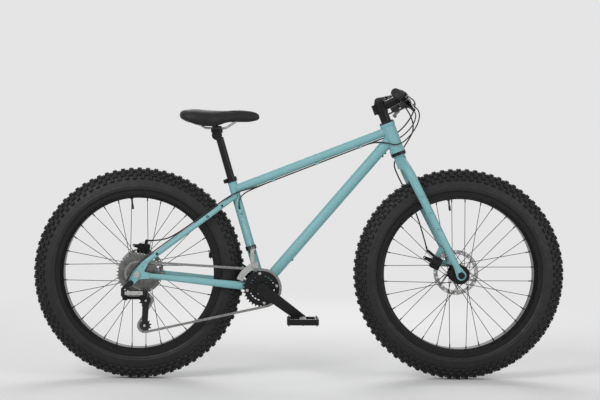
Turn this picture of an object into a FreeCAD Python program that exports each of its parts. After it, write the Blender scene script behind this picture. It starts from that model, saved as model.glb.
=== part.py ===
import FreeCAD, Part
import Sketcher
import math
import os
from types import SimpleNamespace
from FreeCAD import Placement, Rotation, Vector

# Fat tire bicycle: +X forward, +Y to the rider's left, +Z up, millimetres and degrees.
# The origin is on the floor, midway between the two axles.

# Driving dimensions
SIZES = {
    # layout
    "wheelbase": 1125, "chainstay_length": 436, "bottom_bracket_drop": 48,
    "seat_angle": 73.8, "seat_tube_length": 400, "head_angle": 69,
    "head_tube_length": 108, "fork_offset": 47, "fork_length": 465,
    # frame tubes
    "head_tube_od": 50, "head_tube_bore": 44, "head_ring_od": 54, "head_ring_height": 9,
    "top_tube_od": 30.2, "top_tube_wall": 1.4, "top_tube_below_head_top": 25.3,
    "top_tube_below_seat_top": 45, "down_tube_od": 38.1, "down_tube_wall": 1.4,
    "down_tube_below_head_top": 51.5, "seat_tube_od": 31.8,
    "shell_od": 44, "shell_bore": 34.8, "shell_width": 100,
    "chainstay_width": 16, "chainstay_height": 30, "chainstay_tip_height": 18, "chainstay_root": 36,
    "chainstay_bend": 112, "chainstay_bend_side": 64, "stay_wall": 1.4,
    "seatstay_od": 18, "seatstay_root": 12, "seatstay_below_seat_top": 66,
    "seatstay_bend": 112, "seatstay_bend_side": 66, "stay_bend_radius": 160,
    "seatstay_foot_ahead": 32, "seatstay_foot_above": 44, "chainstay_foot_ahead": 45,
    "rear_spacing": 177, "dropout_thickness": 7, "dropout_radius": 17, "eyelet_hole": 4.2,
    "hanger_behind": 21.5, "hanger_below": 30, "hanger_radius": 11, "hanger_thread": 10,
    # fork
    "steerer_od": 28.6, "steerer_bore": 24, "crown_od": 41, "crown_height": 46, "crown_race_od": 50,
    "leg_od": 31, "leg_tip_od": 22, "leg_root": 14, "leg_root_drop": 20, "leg_knee_drop": 66,
    "leg_knee_side": 80, "leg_bend_radius": 52, "front_spacing": 150, "fork_tip_thickness": 12,
    "fork_tip_radius": 17, "leg_boss_od": 12, "leg_boss_hole": 4.2, "leg_boss_pitch": 64,
    "leg_boss_first": 160, "leg_boss_depth": 10,
    # headset and stem
    "lower_stack": 12, "cup_od": 54, "cup_skirt": 11, "cup_lip": 3, "bearing_height": 7,
    "spacer_od": 36, "spacer_height": 10, "spacer_count": 3, "head_cover_height": 8,
    "stem_length": 80, "stem_rise": 6, "stem_height": 41, "stem_od": 40, "stem_neck_od": 31,
    "bar_clamp_od": 46, "bar_clamp_width": 46, "faceplate_gap": 3, "top_cap_height": 5,
    # handlebar and controls
    "bar_od": 22.2, "bar_center_od": 31.8, "bar_center_width": 56, "bar_taper_end": 72,
    "bar_bend": 84, "bar_bend_radius": 120, "bar_width": 710, "bar_sweep": 11,
    "grip_length": 128, "grip_od": 31, "grip_flange_od": 35, "grip_flange": 4,
    "lever_clamp_from_end": 142, "lever_clamp_width": 13, "lever_clamp_od": 31, "lever_angle": 44,
    "lever_pivot_out": 40, "lever_length": 108, "lever_reach": 74, "lever_height": 10, "lever_pin": 5,
    "shifter_clamp_from_end": 186, "shifter_od": 42, "shifter_height": 17, "shifter_drop": 30,
    "shifter_angle": 62, "paddle_length": 44, "paddle_height": 5, "paddle_width": 14,
    # wheels and tires
    "tire_od": 742, "tire_width": 98, "tire_wall": 2.6, "tread_height": 6,
    "rim_bead_radius": 279.5, "rim_flange_radius": 290, "rim_width": 82, "rim_flange": 2.5,
    "rim_bed_radius": 263.5, "rim_bed_width": 48, "rim_well_radius": 273,
    "rim_well_width": 52, "rim_wall": 2,
    "spoke_od": 2.2, "spoke_hole_circle": 58, "spoke_row": 18, "spoke_units": 8,
    "nipple_od": 4.2, "nipple_length": 13, "valve_od": 6, "valve_length": 32,
    "front_valve_angle": 97.6, "rear_valve_angle": 96,
    "flange_od": 67, "flange_thickness": 3.4, "hub_shell_od": 34, "wheel_bearing_od": 28,
    "front_axle_od": 15, "rear_axle_od": 12, "axle_end_od": 23, "axle_end_height": 6,
    "front_flange_right": 53, "front_flange_left": 38, "rear_flange_right": 40, "rear_flange_left": 52,
    # disc brakes
    "rotor_od": 160, "rotor_band": 15, "rotor_thickness": 1.8, "rotor_from_dropout": 15.3,
    "rotor_hub_od": 56, "caliper_length": 44, "caliper_height": 36, "caliper_width": 34, "rotor_slot": 3.4,
    "brake_arm_length": 40, "brake_arm_thickness": 5, "brake_arm_pin": 8,
    "front_caliper_angle": 155, "rear_caliper_angle": 83, "front_arm_angle": 90, "rear_arm_angle": 8,
    # chain drive
    "chain_pitch": 12.7, "roller_od": 7.7, "chain_line": 68, "inner_gap": 2.2, "link_plate": 0.85,
    "link_height": 8.2, "pin_od": 3.4, "tooth_thickness": 1.8, "ring_teeth": 32,
    "small_ring_teeth": 22, "ring_offset": 6.5, "cog_pitch": 4.34, "pulley_teeth": 11, "freehub_od": 34,
    "crank_length": 173, "crank_angle": 36.2, "crank_eye_od": 30, "crank_hub_od": 40, "crank_thickness": 14,
    "crank_inner_face": 99, "spindle_od": 24, "ring_bolt_circle": 104, "small_ring_bolt_circle": 64,
    "cup_flange": 9, "cup_flange_od": 44, "cup_depth": 14,
    "pedal_length": 108, "pedal_width": 98, "pedal_thickness": 20, "pedal_axle_od": 14, "pedal_pin_od": 4,
    "pedal_pin_height": 4, "pedal_gap": 5, "pedal_corner": 9,
    # derailleurs
    "link_length": 58, "link_spacing": 18, "link_width": 9, "link_depth": 16, "link_pin_od": 4,
    "link_slant": 38.5, "knuckle_behind": 38, "knuckle_below": 71, "knuckle_side": 106,
    "cage_pivot_ahead": 30, "cage_pivot_below": 70, "guide_drop": 22, "cage_length": 88,
    "cage_plate": 1.6, "cage_gap": 8.4, "cage_pivot_od": 9, "pulley_bolt_od": 5,
    "clamp_band_height": 143, "clamp_band_width": 14, "clamp_band_od": 38, "fd_plate": 1.2, "fd_gap": 9.2,
    "fd_inner_radius": 71.5, "fd_depth": 22,
    # seat
    "collar_od": 39, "collar_height": 16, "post_od": 27.2, "post_wall": 2.4, "post_length": 345,
    "post_exposed": 146, "cradle_od": 36, "cradle_width": 36, "rail_od": 7, "rail_spacing": 44,
    "rail_above_tilt": 24,
    "clamp_length": 40, "saddle_length": 280, "saddle_width": 146, "saddle_height": 66,
    "saddle_tail_behind": 128,
    # cables
    "brake_housing_od": 5, "shift_housing_od": 4.4, "inner_wire_od": 1.6,
    # clearances
    "running_clearance": 0.05, "free_clearance": 0.4,
}
CASSETTE_TEETH = (36, 32, 28, 24, 21, 18, 16, 14, 12)
DRIVE_COG = CASSETTE_TEETH.index(21)

doc = FreeCAD.newDocument("fat_tire_bike")
sheet = doc.addObject("Spreadsheet::Sheet", "dims")
for row, (alias, size) in enumerate(SIZES.items(), 1):
    sheet.set(f"A{row}", alias)
    sheet.set(f"B{row}", str(size))
    sheet.setAlias(f"B{row}", alias)
doc.recompute()
D = SimpleNamespace(**{alias: float(getattr(sheet, alias)) for alias in SIZES})

RIGHT = -1
LEFT = 1
SIDES = (RIGHT, LEFT)
UP = Vector(0, 0, 1)
AHEAD = Vector(1, 0, 0)
ACROSS = Vector(0, 1, 0)
nodes = {}


# Helpers for building

def number(value):
    """Number behind a plain value or an expression on the sheet."""
    if isinstance(value, str):
        return float(sheet.evalExpression(value))
    return float(value)


def bind(item, prop, value):
    """Set a property, tied to the sheet where the value is an expression."""
    if isinstance(value, str):
        item.setExpression(prop, value)
    else:
        setattr(item, prop, value)


def node(label, *items):
    """Register a sub-part made of one item, or of several separate solids."""
    item = items[0]
    if len(items) > 1:
        item = doc.addObject("Part::Compound", label + "_group")
        item.Links = list(items)
    item.Label = label
    nodes[label] = item
    return item


def feature(name, shape):
    """Document object for a shape worked out in place."""
    item = doc.addObject("Part::Feature", name)
    item.Shape = shape
    return item


def frame_at(origin, z_axis, x_axis=None):
    """Placement whose own Z points along z_axis and own X as near as it can to x_axis."""
    if x_axis is None:
        return Placement(origin, Rotation(UP, z_axis))
    return Placement(origin, Rotation(x_axis, Vector(), z_axis, "ZXY"))


def origin_plane(body, role):
    return next(plane for plane in body.Origin.OriginFeatures if plane.Role == role)


def closed_sketch(body, role, loops):
    """Sketch of closed outlines whose corners are pairs of values or expressions."""
    sketch = body.newObject("Sketcher::SketchObject", body.Name + "_sketch")
    sketch.AttachmentSupport = [(origin_plane(body, role), "")]
    sketch.MapMode = "FlatFace"
    for corners in loops:
        first = sketch.GeometryCount
        places = [Vector(number(across), number(along), 0) for across, along in corners]
        count = len(places)
        for index in range(count):
            sketch.addGeometry(Part.LineSegment(places[index], places[(index + 1) % count]), False)
        for index in range(count):
            following = first + (index + 1) % count
            sketch.addConstraint(Sketcher.Constraint("Coincident", first + index, 2, following, 1))
        for index, (across, along) in enumerate(corners):
            sizes = (("DistanceX", across, places[index].x), ("DistanceY", along, places[index].y))
            for kind, value, length in sizes:
                made = sketch.addConstraint(Sketcher.Constraint(kind, -1, 1, first + index, 1, length))
                if isinstance(value, str):
                    sketch.setExpression(f"Constraints[{made}]", value)
    return sketch


def turned(name, placement, *loops):
    """Body turned about its own Z from outlines given as (radius, height)."""
    body = doc.addObject("PartDesign::Body", name)
    sketch = closed_sketch(body, "XZ_Plane", loops)
    revolution = body.newObject("PartDesign::Revolution", name + "_turn")
    revolution.Profile = sketch
    revolution.ReferenceAxis = (sketch, ["V_Axis"])
    revolution.Angle = 360
    body.Placement = placement
    return body


def ring(name, placement, bore, outer, low, high):
    """Plain turned ring."""
    return turned(name, placement, [(bore, low), (outer, low), (outer, high), (bore, high)])


def rod(name, radius, start, end):
    """Round bar between two points."""
    item = doc.addObject("Part::Cylinder", name)
    bind(item, "Radius", radius)
    item.Height = (end - start).Length
    item.Placement = frame_at(start, end - start)
    return item


def cut(name, base, *tools):
    """Base with the tools taken away."""
    tool = tools[0]
    if len(tools) > 1:
        tool = doc.addObject("Part::MultiFuse", name + "_tools")
        tool.Shapes = list(tools)
    item = doc.addObject("Part::Cut", name)
    item.Base = base
    item.Tool = tool
    return item


def cylinder(radius, start, end):
    """Plain cylinder shape between two points."""
    return Part.makeCylinder(radius, (end - start).Length, start, end - start)


def block(placement, length, width, height):
    """Box shape centred on its placement."""
    box = Part.makeBox(length, width, height, Vector(-length / 2, -width / 2, -height / 2))
    box.Placement = placement
    return box


def upright_edges(box):
    """Edges of a box that run along its Z."""
    return [edge for edge in box.Edges if abs(edge.tangentAt(edge.FirstParameter).z) > 0.9]


def capsule(placement, start, start_radius, end, end_radius, low, high):
    """Flat link about two centres in the placement's XY plane, from height low to high."""
    first = Vector(start[0], start[1], low)
    second = Vector(end[0], end[1], low)
    run = second - first
    lean = math.acos((start_radius - end_radius) / run.Length)
    heading = math.atan2(run.y, run.x)

    def rim(center, radius, angle):
        return center + Vector(math.cos(angle), math.sin(angle), 0) * radius

    left, right = heading + lean, heading - lean
    edges = [
        Part.LineSegment(rim(first, start_radius, right), rim(second, end_radius, right)).toShape(),
        Part.Arc(rim(second, end_radius, right), rim(second, end_radius, heading),
                 rim(second, end_radius, left)).toShape(),
        Part.LineSegment(rim(second, end_radius, left), rim(first, start_radius, left)).toShape(),
        Part.Arc(rim(first, start_radius, left), rim(first, start_radius, heading + math.pi),
                 rim(first, start_radius, right)).toShape(),
    ]
    shape = Part.Face(Part.Wire(edges)).extrude(Vector(0, 0, high - low))
    shape.Placement = placement
    return shape


def rounded_path(points, radius=None):
    """Wire of straight runs and tangent arcs; each arc as large as its runs allow unless given."""
    points = [Vector(point) for point in points]
    edges = []
    radii = []
    here = points[0]
    for before, corner, after in zip(points, points[1:], points[2:]):
        back = before - corner
        on = after - corner
        half = (math.pi - back.getAngle(on)) / 2
        largest = 0.45 * min(back.Length, on.Length) / math.tan(half)
        bend = min(radius, largest) if radius else largest
        reach = bend * math.tan(half)
        enter = corner + back.normalize() * reach
        leave = corner + on.normalize() * reach
        middle = (back + on).normalize()
        top = corner + middle * (bend / math.cos(half) - bend)
        edges.append(Part.LineSegment(here, enter).toShape())
        edges.append(Part.Arc(enter, top, leave).toShape())
        radii.append(bend)
        here = leave
    edges.append(Part.LineSegment(here, points[-1]).toShape())
    return Part.Wire(edges), radii


def swept(path, radius):
    """Solid round bar along a path."""
    start = path.OrderedEdges[0]
    circle = Part.Circle(path.OrderedVertexes[0].Point, start.tangentAt(start.FirstParameter), radius)
    return path.makePipeShell([Part.Wire(circle.toShape())], True, False)


def housing(name, diameter, points, radius=None):
    """Cable housing along a route of straight runs and arcs, with its bends and volume checked."""
    path, radii = rounded_path(points, radius)
    solid = swept(path, diameter / 2)
    expected = math.pi * diameter ** 2 / 4 * path.Length
    print(f"{name}: length {path.Length:.0f} mm, least bend {min(radii):.0f} mm,"
          f" volume ratio {solid.Volume / expected:.4f}")
    return feature(name, solid)


def joined(*shapes):
    """One shape from several that meet."""
    return shapes[0].fuse(list(shapes[1:])).removeSplitter()


# Layout points in the middle plane

axle_height = D.tire_od / 2
rear_axle = Vector(-D.wheelbase / 2, 0, axle_height)
front_axle = Vector(D.wheelbase / 2, 0, axle_height)
shell_ahead = math.sqrt(D.chainstay_length ** 2 - D.bottom_bracket_drop ** 2)
bottom_bracket = rear_axle + Vector(shell_ahead, 0, -D.bottom_bracket_drop)
seat_rise = Vector(-math.cos(math.radians(D.seat_angle)), 0, math.sin(math.radians(D.seat_angle)))
seat_top = bottom_bracket + seat_rise * D.seat_tube_length
steer_up = Vector(-math.cos(math.radians(D.head_angle)), 0, math.sin(math.radians(D.head_angle)))
steer_ahead = Vector(steer_up.z, 0, -steer_up.x)
crown = front_axle - steer_ahead * D.fork_offset + steer_up * D.fork_length
head_bottom = crown + steer_up * D.lower_stack
head_top = head_bottom + steer_up * D.head_tube_length
stack_height = D.head_cover_height + D.spacer_count * D.spacer_height
stem_low = head_top + steer_up * stack_height
stem_center = stem_low + steer_up * (D.stem_height / 2)
stem_axis = Rotation(ACROSS, -D.stem_rise).multVec(steer_ahead)
bar_center = stem_center + stem_axis * D.stem_length
steering = frame_at(head_bottom, steer_up, steer_ahead)
post_top = seat_top + seat_rise * D.post_exposed
wheel_turn = Rotation(UP, ACROSS)


# Wheels

def wheel_point(axle, radius, angle, side):
    """Point on a wheel at a radius, an angle in degrees from straight ahead and a side offset."""
    turn = math.radians(angle)
    return axle + Vector(radius * math.cos(turn), side, radius * math.sin(turn))


def section_revolved(axle, edges):
    """Ring from a closed section drawn as (radius, side) above the axle."""
    face = Part.Face(Part.Wire(Part.__sortEdges__(edges)))
    solid = face.revolve(Vector(), ACROSS, 360)
    solid.translate(axle)
    return solid


def section_line(*points):
    """Straight edges through points given as (radius, side)."""
    places = [Vector(0, side, radius) for radius, side in points]
    return [Part.LineSegment(a, b).toShape() for a, b in zip(places, places[1:])]


def section_arc(first, middle, last):
    """Arc edge through three points given as (radius, side)."""
    return Part.Arc(*[Vector(0, side, radius) for radius, side in (first, middle, last)]).toShape()


# Places on the tire section as shares of its height over the rim's flanges, and of its half width
TIRE_WIDEST_SHARE = 0.345
TIRE_SHOULDER_SHARE = 0.32
TIRE_SHOULDER_SIDE = 0.89
# Height of the heel over the flange, and the shares of an inset by which shoulder and heel move in
TIRE_HEEL_RISE = 1.2
SHOULDER_INSET = 0.6
HEEL_INSET = 0.2
# Slope of the tube's sides out of the rim's well
TUBE_FLARE = 2
tire_height = D.tire_od / 2 - D.rim_flange_radius
tire_widest = D.rim_flange_radius + TIRE_WIDEST_SHARE * tire_height


def tire_section(inset):
    """Half width, crown and shoulder of the tire section, moved in by an inset."""
    half = D.tire_width / 2 - inset
    top = D.tire_od / 2 - inset
    shoulder = (D.tire_od / 2 - TIRE_SHOULDER_SHARE * tire_height - SHOULDER_INSET * inset,
                half * TIRE_SHOULDER_SIDE)
    return half, top, shoulder


def tire(label, axle):
    """Hollow casing from bead to bead, over the outside of the rim's flanges."""
    bead = D.rim_width / 2 - D.rim_flange - D.free_clearance / 2
    heel = D.rim_flange_radius + TIRE_HEEL_RISE
    foot = D.rim_bead_radius + D.free_clearance
    half, top, shoulder = tire_section(0)
    inner_half, inner_top, inner_shoulder = tire_section(D.tire_wall)
    inner_top -= D.tread_height
    edges = []
    for side in SIDES:
        outer_heel = (heel, side * D.rim_width / 2)
        inner_heel = (heel + D.tire_wall, side * (D.rim_width / 2 - HEEL_INSET * D.tire_wall))
        edges += section_line((foot, side * (bead - D.tire_wall)), (foot, side * bead),
                              (heel - TIRE_HEEL_RISE / 2, side * bead), outer_heel)
        edges.append(section_arc(outer_heel, (tire_widest, side * half), (shoulder[0], side * shoulder[1])))
        edges += section_line((foot, side * (bead - D.tire_wall)), (heel, side * (bead - D.tire_wall)),
                              inner_heel)
        edges.append(section_arc(inner_heel, (tire_widest, side * inner_half),
                                 (inner_shoulder[0], side * inner_shoulder[1])))
    edges.append(section_arc((shoulder[0], -shoulder[1]), (top, 0), shoulder))
    edges.append(section_arc((inner_shoulder[0], -inner_shoulder[1]), (inner_top, 0), inner_shoulder))
    node(label, feature(label + "_casing", section_revolved(axle, edges)))


def inner_tube(label, axle, valve_angle):
    """Inflated tube resting on the rim's well and the casing, with its valve stem."""
    gap = D.free_clearance
    inset = D.tire_wall + gap
    bead = D.rim_width / 2 - D.rim_flange - D.free_clearance / 2 - D.tire_wall - gap
    heel = D.rim_flange_radius + TIRE_HEEL_RISE
    well = D.rim_well_width / 2 - gap
    half, top, shoulder = tire_section(inset)
    top -= D.tread_height
    edges = section_line((D.rim_well_radius + gap, -well), (D.rim_well_radius + gap, well))
    for side in SIDES:
        heel_in = (heel + D.tire_wall, side * (D.rim_width / 2 - HEEL_INSET * D.tire_wall - 2 * gap))
        edges += section_line((D.rim_well_radius + gap, side * well),
                              (D.rim_bead_radius + gap, side * (well + TUBE_FLARE)),
                              (D.rim_bead_radius + gap, side * bead), (heel, side * bead), heel_in)
        edges.append(section_arc(heel_in, (tire_widest, side * half), (shoulder[0], side * shoulder[1])))
    edges.append(section_arc((shoulder[0], -shoulder[1]), (top, 0), shoulder))
    tube = section_revolved(axle, edges)
    wall = 2 * gap
    low = D.rim_well_radius + gap + wall
    high = top - wall
    hollow = Part.makeTorus((low + high) / 2, min((high - low) / 2, half - wall), axle, ACROSS)
    tip = wheel_point(axle, D.rim_bed_radius - D.valve_length, valve_angle, 0)
    base = wheel_point(axle, low, valve_angle, 0)
    stem = cylinder(D.valve_od / 2, tip, base).cut(hollow)
    node(label, feature(label + "_with_valve", joined(tube.cut(hollow), stem)))


def spoke_lines(axle, flanges):
    """Hub end, rim end and flange face of each spoke, crossed three times."""
    spacing = 360 / (4 * D.spoke_units)
    reach = 6 * spacing
    for unit in range(int(D.spoke_units)):
        for place, (side, lead) in enumerate(((RIGHT, 1), (LEFT, 1), (RIGHT, -1), (LEFT, -1))):
            rim_angle = (4 * unit + place + 0.5) * spacing
            hub_angle = rim_angle + lead * reach
            flange = side * flanges[side]
            face = flange + lead * side * (D.flange_thickness + D.spoke_od) / 2
            if lead > 0:
                face += side * D.spoke_od
            hub = wheel_point(axle, D.spoke_hole_circle / 2, hub_angle, face)
            back = wheel_point(axle, D.spoke_hole_circle / 2, hub_angle,
                               flange - lead * side * (D.flange_thickness / 2 + D.spoke_od / 2))
            rim = wheel_point(axle, D.rim_bed_radius + D.rim_wall, rim_angle, side * D.spoke_row)
            yield hub, back, rim


def spokes(label, axle, flanges):
    """Separate spokes, each with its elbow through the flange, its head and its nipple."""
    solids = []
    for hub, back, rim in spoke_lines(axle, flanges):
        along = (rim - hub).normalize()
        head_end = back + (back - hub).normalize() * (D.spoke_od / 2)
        seat = rim + along * (0.3 * D.rim_wall)
        shank = cylinder(D.nipple_od / 2, rim - along * D.nipple_length, seat)
        head = cylinder(0.7 * D.nipple_od, seat, seat + along * (0.55 * D.nipple_od))
        elbow = cylinder(D.spoke_od / 2, hub, back)
        cap = cylinder(D.spoke_od * 0.8, back, head_end)
        knee = Part.makeSphere(D.spoke_od / 2, hub)
        wire = cylinder(D.spoke_od / 2, hub, rim)
        solids.append(wire.fuse([shank, head, elbow, cap, knee]))
    node(label, feature(label + "_set", Part.makeCompound(solids)))


# Rise of the rim's sloping sides over its bed, width of the slope beside its well, depth of the valve drill
RIM_SIDE_RISE = 12
RIM_WELL_SLOPE = 3
VALVE_DRILL = 5


def rim(label, axle, flanges, valve_angle):
    """Hollow rim with a bead shelf on each side, pierced for the nipples and the valve."""
    half = "dims.rim_width / 2"
    inside = "dims.rim_width / 2 - dims.rim_flange"
    shelf = f"dims.rim_well_width / 2 + {RIM_WELL_SLOPE}"
    bed = "dims.rim_bed_width / 2"
    skin = "dims.rim_wall"
    outer = []
    hollow = []
    for sign in ("-", ""):
        wall = [("dims.rim_bed_radius", bed), (f"dims.rim_bed_radius + {RIM_SIDE_RISE}", half),
                ("dims.rim_flange_radius", half),
                ("dims.rim_flange_radius", inside), ("dims.rim_bead_radius", inside),
                ("dims.rim_bead_radius", shelf), ("dims.rim_well_radius", "dims.rim_well_width / 2")]
        room = [(f"dims.rim_bed_radius + {skin}", f"{bed} - {skin} / 2"),
                (f"dims.rim_bed_radius + {RIM_SIDE_RISE - 1}", f"{inside} - {skin}"),
                (f"dims.rim_bead_radius - {skin}", f"{inside} - {skin}"),
                (f"dims.rim_bead_radius - {skin}", f"{shelf} + {skin} / 2"),
                (f"dims.rim_well_radius - {skin}", f"dims.rim_well_width / 2 + {skin} / 2")]
        if sign:
            wall.reverse()
            room.reverse()
        outer += [(radius, f"{sign}({side})") for radius, side in wall]
        hollow += [(radius, f"{sign}({side})") for radius, side in room]
    blank = turned(label + "_blank", Placement(axle, wheel_turn), outer, hollow)
    drills = []
    for hub, back, end in spoke_lines(axle, flanges):
        along = (end - hub).normalize()
        drills.append(cylinder(D.nipple_od / 2 + D.free_clearance / 2, end - along * (4 * D.rim_wall),
                               end + along * (0.2 * D.rim_wall)))
    drills.append(cylinder((D.valve_od + D.free_clearance) / 2,
                           wheel_point(axle, D.rim_bed_radius - VALVE_DRILL, valve_angle, 0),
                           wheel_point(axle, D.rim_bead_radius, valve_angle, 0)))
    node(label, cut(label + "_drilled", blank, feature(label + "_holes", Part.makeCompound(drills))))


HUB_BORE_ROOM = 3
DISC_MOUNT_DEPTH = 7


def hub(label, axle, flanges, axle_size, right_end, rotor_side):
    """Hub shell with two drilled flanges, a disc mount and a bearing in each end."""
    shell = "dims.hub_shell_od / 2"
    rim_edge = "dims.flange_od / 2"
    seat = "dims.wheel_bearing_od / 2"
    bore = f"dims.{axle_size} / 2 + {HUB_BORE_ROOM}"
    face = f"{rotor_side} - dims.rotor_thickness / 2"
    half = "dims.flange_thickness / 2"
    depth = "dims.bearing_height"
    profile = [(seat, right_end), (shell, right_end)]
    for place in flanges:
        profile += [(shell, f"{place} - {half}"), (rim_edge, f"{place} - {half}"),
                    (rim_edge, f"{place} + {half}"), (shell, f"{place} + {half}")]
    profile += [(shell, f"{face} - {DISC_MOUNT_DEPTH}"),
                ("dims.rotor_hub_od / 2", f"{face} - {DISC_MOUNT_DEPTH}"), ("dims.rotor_hub_od / 2", face),
                (seat, face), (seat, f"{face} - {depth}"), (bore, f"{face} - {depth}"),
                (bore, f"{right_end} + {depth}"), (seat, f"{right_end} + {depth}")]
    place = Placement(axle, wheel_turn)
    blank = turned(label + "_shell", place, profile)
    offsets = {RIGHT: -number(flanges[0]), LEFT: number(flanges[1])}
    drills = []
    for start, back, end in spoke_lines(axle, offsets):
        along = (back - start).normalize()
        drills.append(cylinder((D.spoke_od + D.free_clearance) / 2, start - along, back + along))
    drilled = cut(label + "_drilled", blank, feature(label + "_holes", Part.makeCompound(drills)))
    inner = f"dims.{axle_size} / 2 + dims.running_clearance"
    right_bearing = ring(label + "_bearing_right", place, inner, seat, right_end, f"{right_end} + {depth}")
    left_bearing = ring(label + "_bearing_left", place, inner, seat, f"{face} - {depth}", face)
    node(label, drilled, right_bearing, left_bearing)


ROTOR_ARMS = 6
ROTOR_ARM_SWEEP = 38
ROTOR_ARM_WIDTH = 7
ROTOR_ARM_OVERLAP = 3
ROTOR_HOLES = 24
ROTOR_HOLE = 5
# Places of the two rows of holes as shares of the band's width
ROTOR_HOLE_ROWS = (0.3, 0.7)


def rotor(label, axle, side):
    """Brake disc: a drilled band on swept arms, bolted to the hub's disc mount."""
    low = side - D.rotor_thickness / 2
    high = side + D.rotor_thickness / 2
    rim_radius = D.rotor_od / 2
    band_radius = rim_radius - D.rotor_band
    start = axle + ACROSS * low
    end = axle + ACROSS * high
    band = cylinder(rim_radius, start, end).cut(cylinder(band_radius, start, end))
    center = cylinder(D.rotor_hub_od / 2, start, end)
    arms = []
    for arm in range(ROTOR_ARMS):
        angle = 360 * arm / ROTOR_ARMS
        root = wheel_point(Vector(), D.rotor_hub_od / 2 - ROTOR_ARM_OVERLAP, angle, 0)
        tip = wheel_point(Vector(), band_radius + ROTOR_ARM_OVERLAP, angle + ROTOR_ARM_SWEEP, 0)
        arms.append(capsule(Placement(axle, wheel_turn), (root.x, -root.z), ROTOR_ARM_WIDTH / 2,
                            (tip.x, -tip.z), ROTOR_ARM_WIDTH / 2 - 0.5, low, high))
    disc = joined(band, center, *arms)
    drills = [cylinder(D.wheel_bearing_od / 2 + 1, start, end)]
    for hole in range(ROTOR_HOLES):
        radius = rim_radius - D.rotor_band * ROTOR_HOLE_ROWS[hole % 2]
        angle = 360 * hole / ROTOR_HOLES
        drills.append(cylinder(ROTOR_HOLE / 2, wheel_point(axle, radius, angle, low),
                               wheel_point(axle, radius, angle, high)))
    node(label, feature(label + "_disc", disc.cut(drills)))


AXLE_SLEEVE_WALL = 2.5


def axle_set(label, axle, size, spacing, outer, hub_right, rotor_side):
    """Through axle with its two end nuts, and the sleeves that hold the hub between the dropouts."""
    place = Placement(axle, wheel_turn)
    radius = f"dims.{size} / 2"
    face = f"dims.{spacing} / 2"
    end = f"{face} + {outer}"
    nut = f"{end} + dims.axle_end_height"
    shaft = turned(label + "_shaft", place, [
        (0, f"-({nut})"), ("dims.axle_end_od / 2", f"-({nut})"), ("dims.axle_end_od / 2", f"-({end})"),
        (radius, f"-({end})"), (radius, end), ("dims.axle_end_od / 2", end), ("dims.axle_end_od / 2", nut),
        (0, nut)])
    sleeve = f"{radius} + {AXLE_SLEEVE_WALL}"
    rotor_face = f"{rotor_side} - dims.rotor_thickness / 2"
    right = ring(label + "_sleeve_right", place, radius, sleeve, f"-({face})",
                 f"{hub_right} - dims.free_clearance")
    left = ring(label + "_sleeve_left", place, radius, sleeve, f"{rotor_face} + dims.free_clearance", face)
    node(label, shaft, right, left)


FRONT_ROTOR = "(dims.front_spacing / 2 - dims.rotor_from_dropout)"
REAR_ROTOR = "(dims.rear_spacing / 2 - dims.rotor_from_dropout)"
FRONT_HUB_END = "(-dims.front_spacing / 2 + 8)"
REAR_HUB_END = "(-dims.rear_flange_right - dims.flange_thickness / 2 - 2)"
FREEHUB_START = f"({REAR_HUB_END} - dims.free_clearance)"
FREEHUB_END = "(-dims.rear_spacing / 2 + 1.8)"


def wheels():
    front_flanges = {RIGHT: D.front_flange_right, LEFT: D.front_flange_left}
    rear_flanges = {RIGHT: D.rear_flange_right, LEFT: D.rear_flange_left}
    tire("front_tire", front_axle)
    inner_tube("front_inner_tube", front_axle, D.front_valve_angle)
    rim("front_rim", front_axle, front_flanges, D.front_valve_angle)
    spokes("front_spokes", front_axle, front_flanges)
    hub("front_hub", front_axle, ("(-dims.front_flange_right)", "dims.front_flange_left"), "front_axle_od",
        FRONT_HUB_END, FRONT_ROTOR)
    rotor("front_rotor", front_axle, number(FRONT_ROTOR))
    axle_set("front_axle", front_axle, "front_axle_od", "front_spacing", "dims.fork_tip_thickness",
             FRONT_HUB_END, FRONT_ROTOR)
    tire("rear_tire", rear_axle)
    inner_tube("rear_inner_tube", rear_axle, D.rear_valve_angle)
    rim("rear_rim", rear_axle, rear_flanges, D.rear_valve_angle)
    spokes("rear_spokes", rear_axle, rear_flanges)
    hub("rear_hub", rear_axle, ("(-dims.rear_flange_right)", "dims.rear_flange_left"), "rear_axle_od",
        REAR_HUB_END, REAR_ROTOR)
    rotor("rear_rotor", rear_axle, number(REAR_ROTOR))
    axle_set("rear_axle", rear_axle, "rear_axle_od", "rear_spacing", "dims.dropout_thickness",
             FREEHUB_END, REAR_ROTOR)


# Frame

top_tube_front = head_top - steer_up * D.top_tube_below_head_top
top_tube_back = seat_top - seat_rise * D.top_tube_below_seat_top
down_tube_front = head_top - steer_up * D.down_tube_below_head_top
seatstay_head = seat_top - seat_rise * D.seatstay_below_seat_top
dropout_middle = (D.rear_spacing + D.dropout_thickness) / 2
top_tube_axis = (top_tube_front - top_tube_back).normalize()
top_tube_under = ACROSS.cross(top_tube_axis)
GUIDE_STATIONS = (0.24, 0.52, 0.8)
GUIDE_LENGTH = 10
GUIDE_WIDTH = 24
GUIDE_HEIGHT = 8
HOUSING_PITCH = 7


def side_plate(center, start, start_radius, end, end_radius, low, high):
    """Flat link in a fore-and-aft plane; ends are (ahead, above) offsets, low and high are sides."""
    return capsule(Placement(center, wheel_turn), (start[0], -start[1]), start_radius,
                   (end[0], -end[1]), end_radius, low, high)


def outward(side, near, far):
    """Low and high side offsets of a layer that lies near to far from the middle plane."""
    return (near, far) if side > 0 else (-far, -near)


def tube(name, diameter, wall, start, end, *molds):
    """Round tube between two points, mitred to the molds it meets."""
    skin = rod(name + "_skin", f"dims.{diameter} / 2", start, end)
    bore = rod(name + "_bore", f"dims.{diameter} / 2 - dims.{wall}", start, end)
    return cut(name, skin, bore, *molds)


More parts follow.
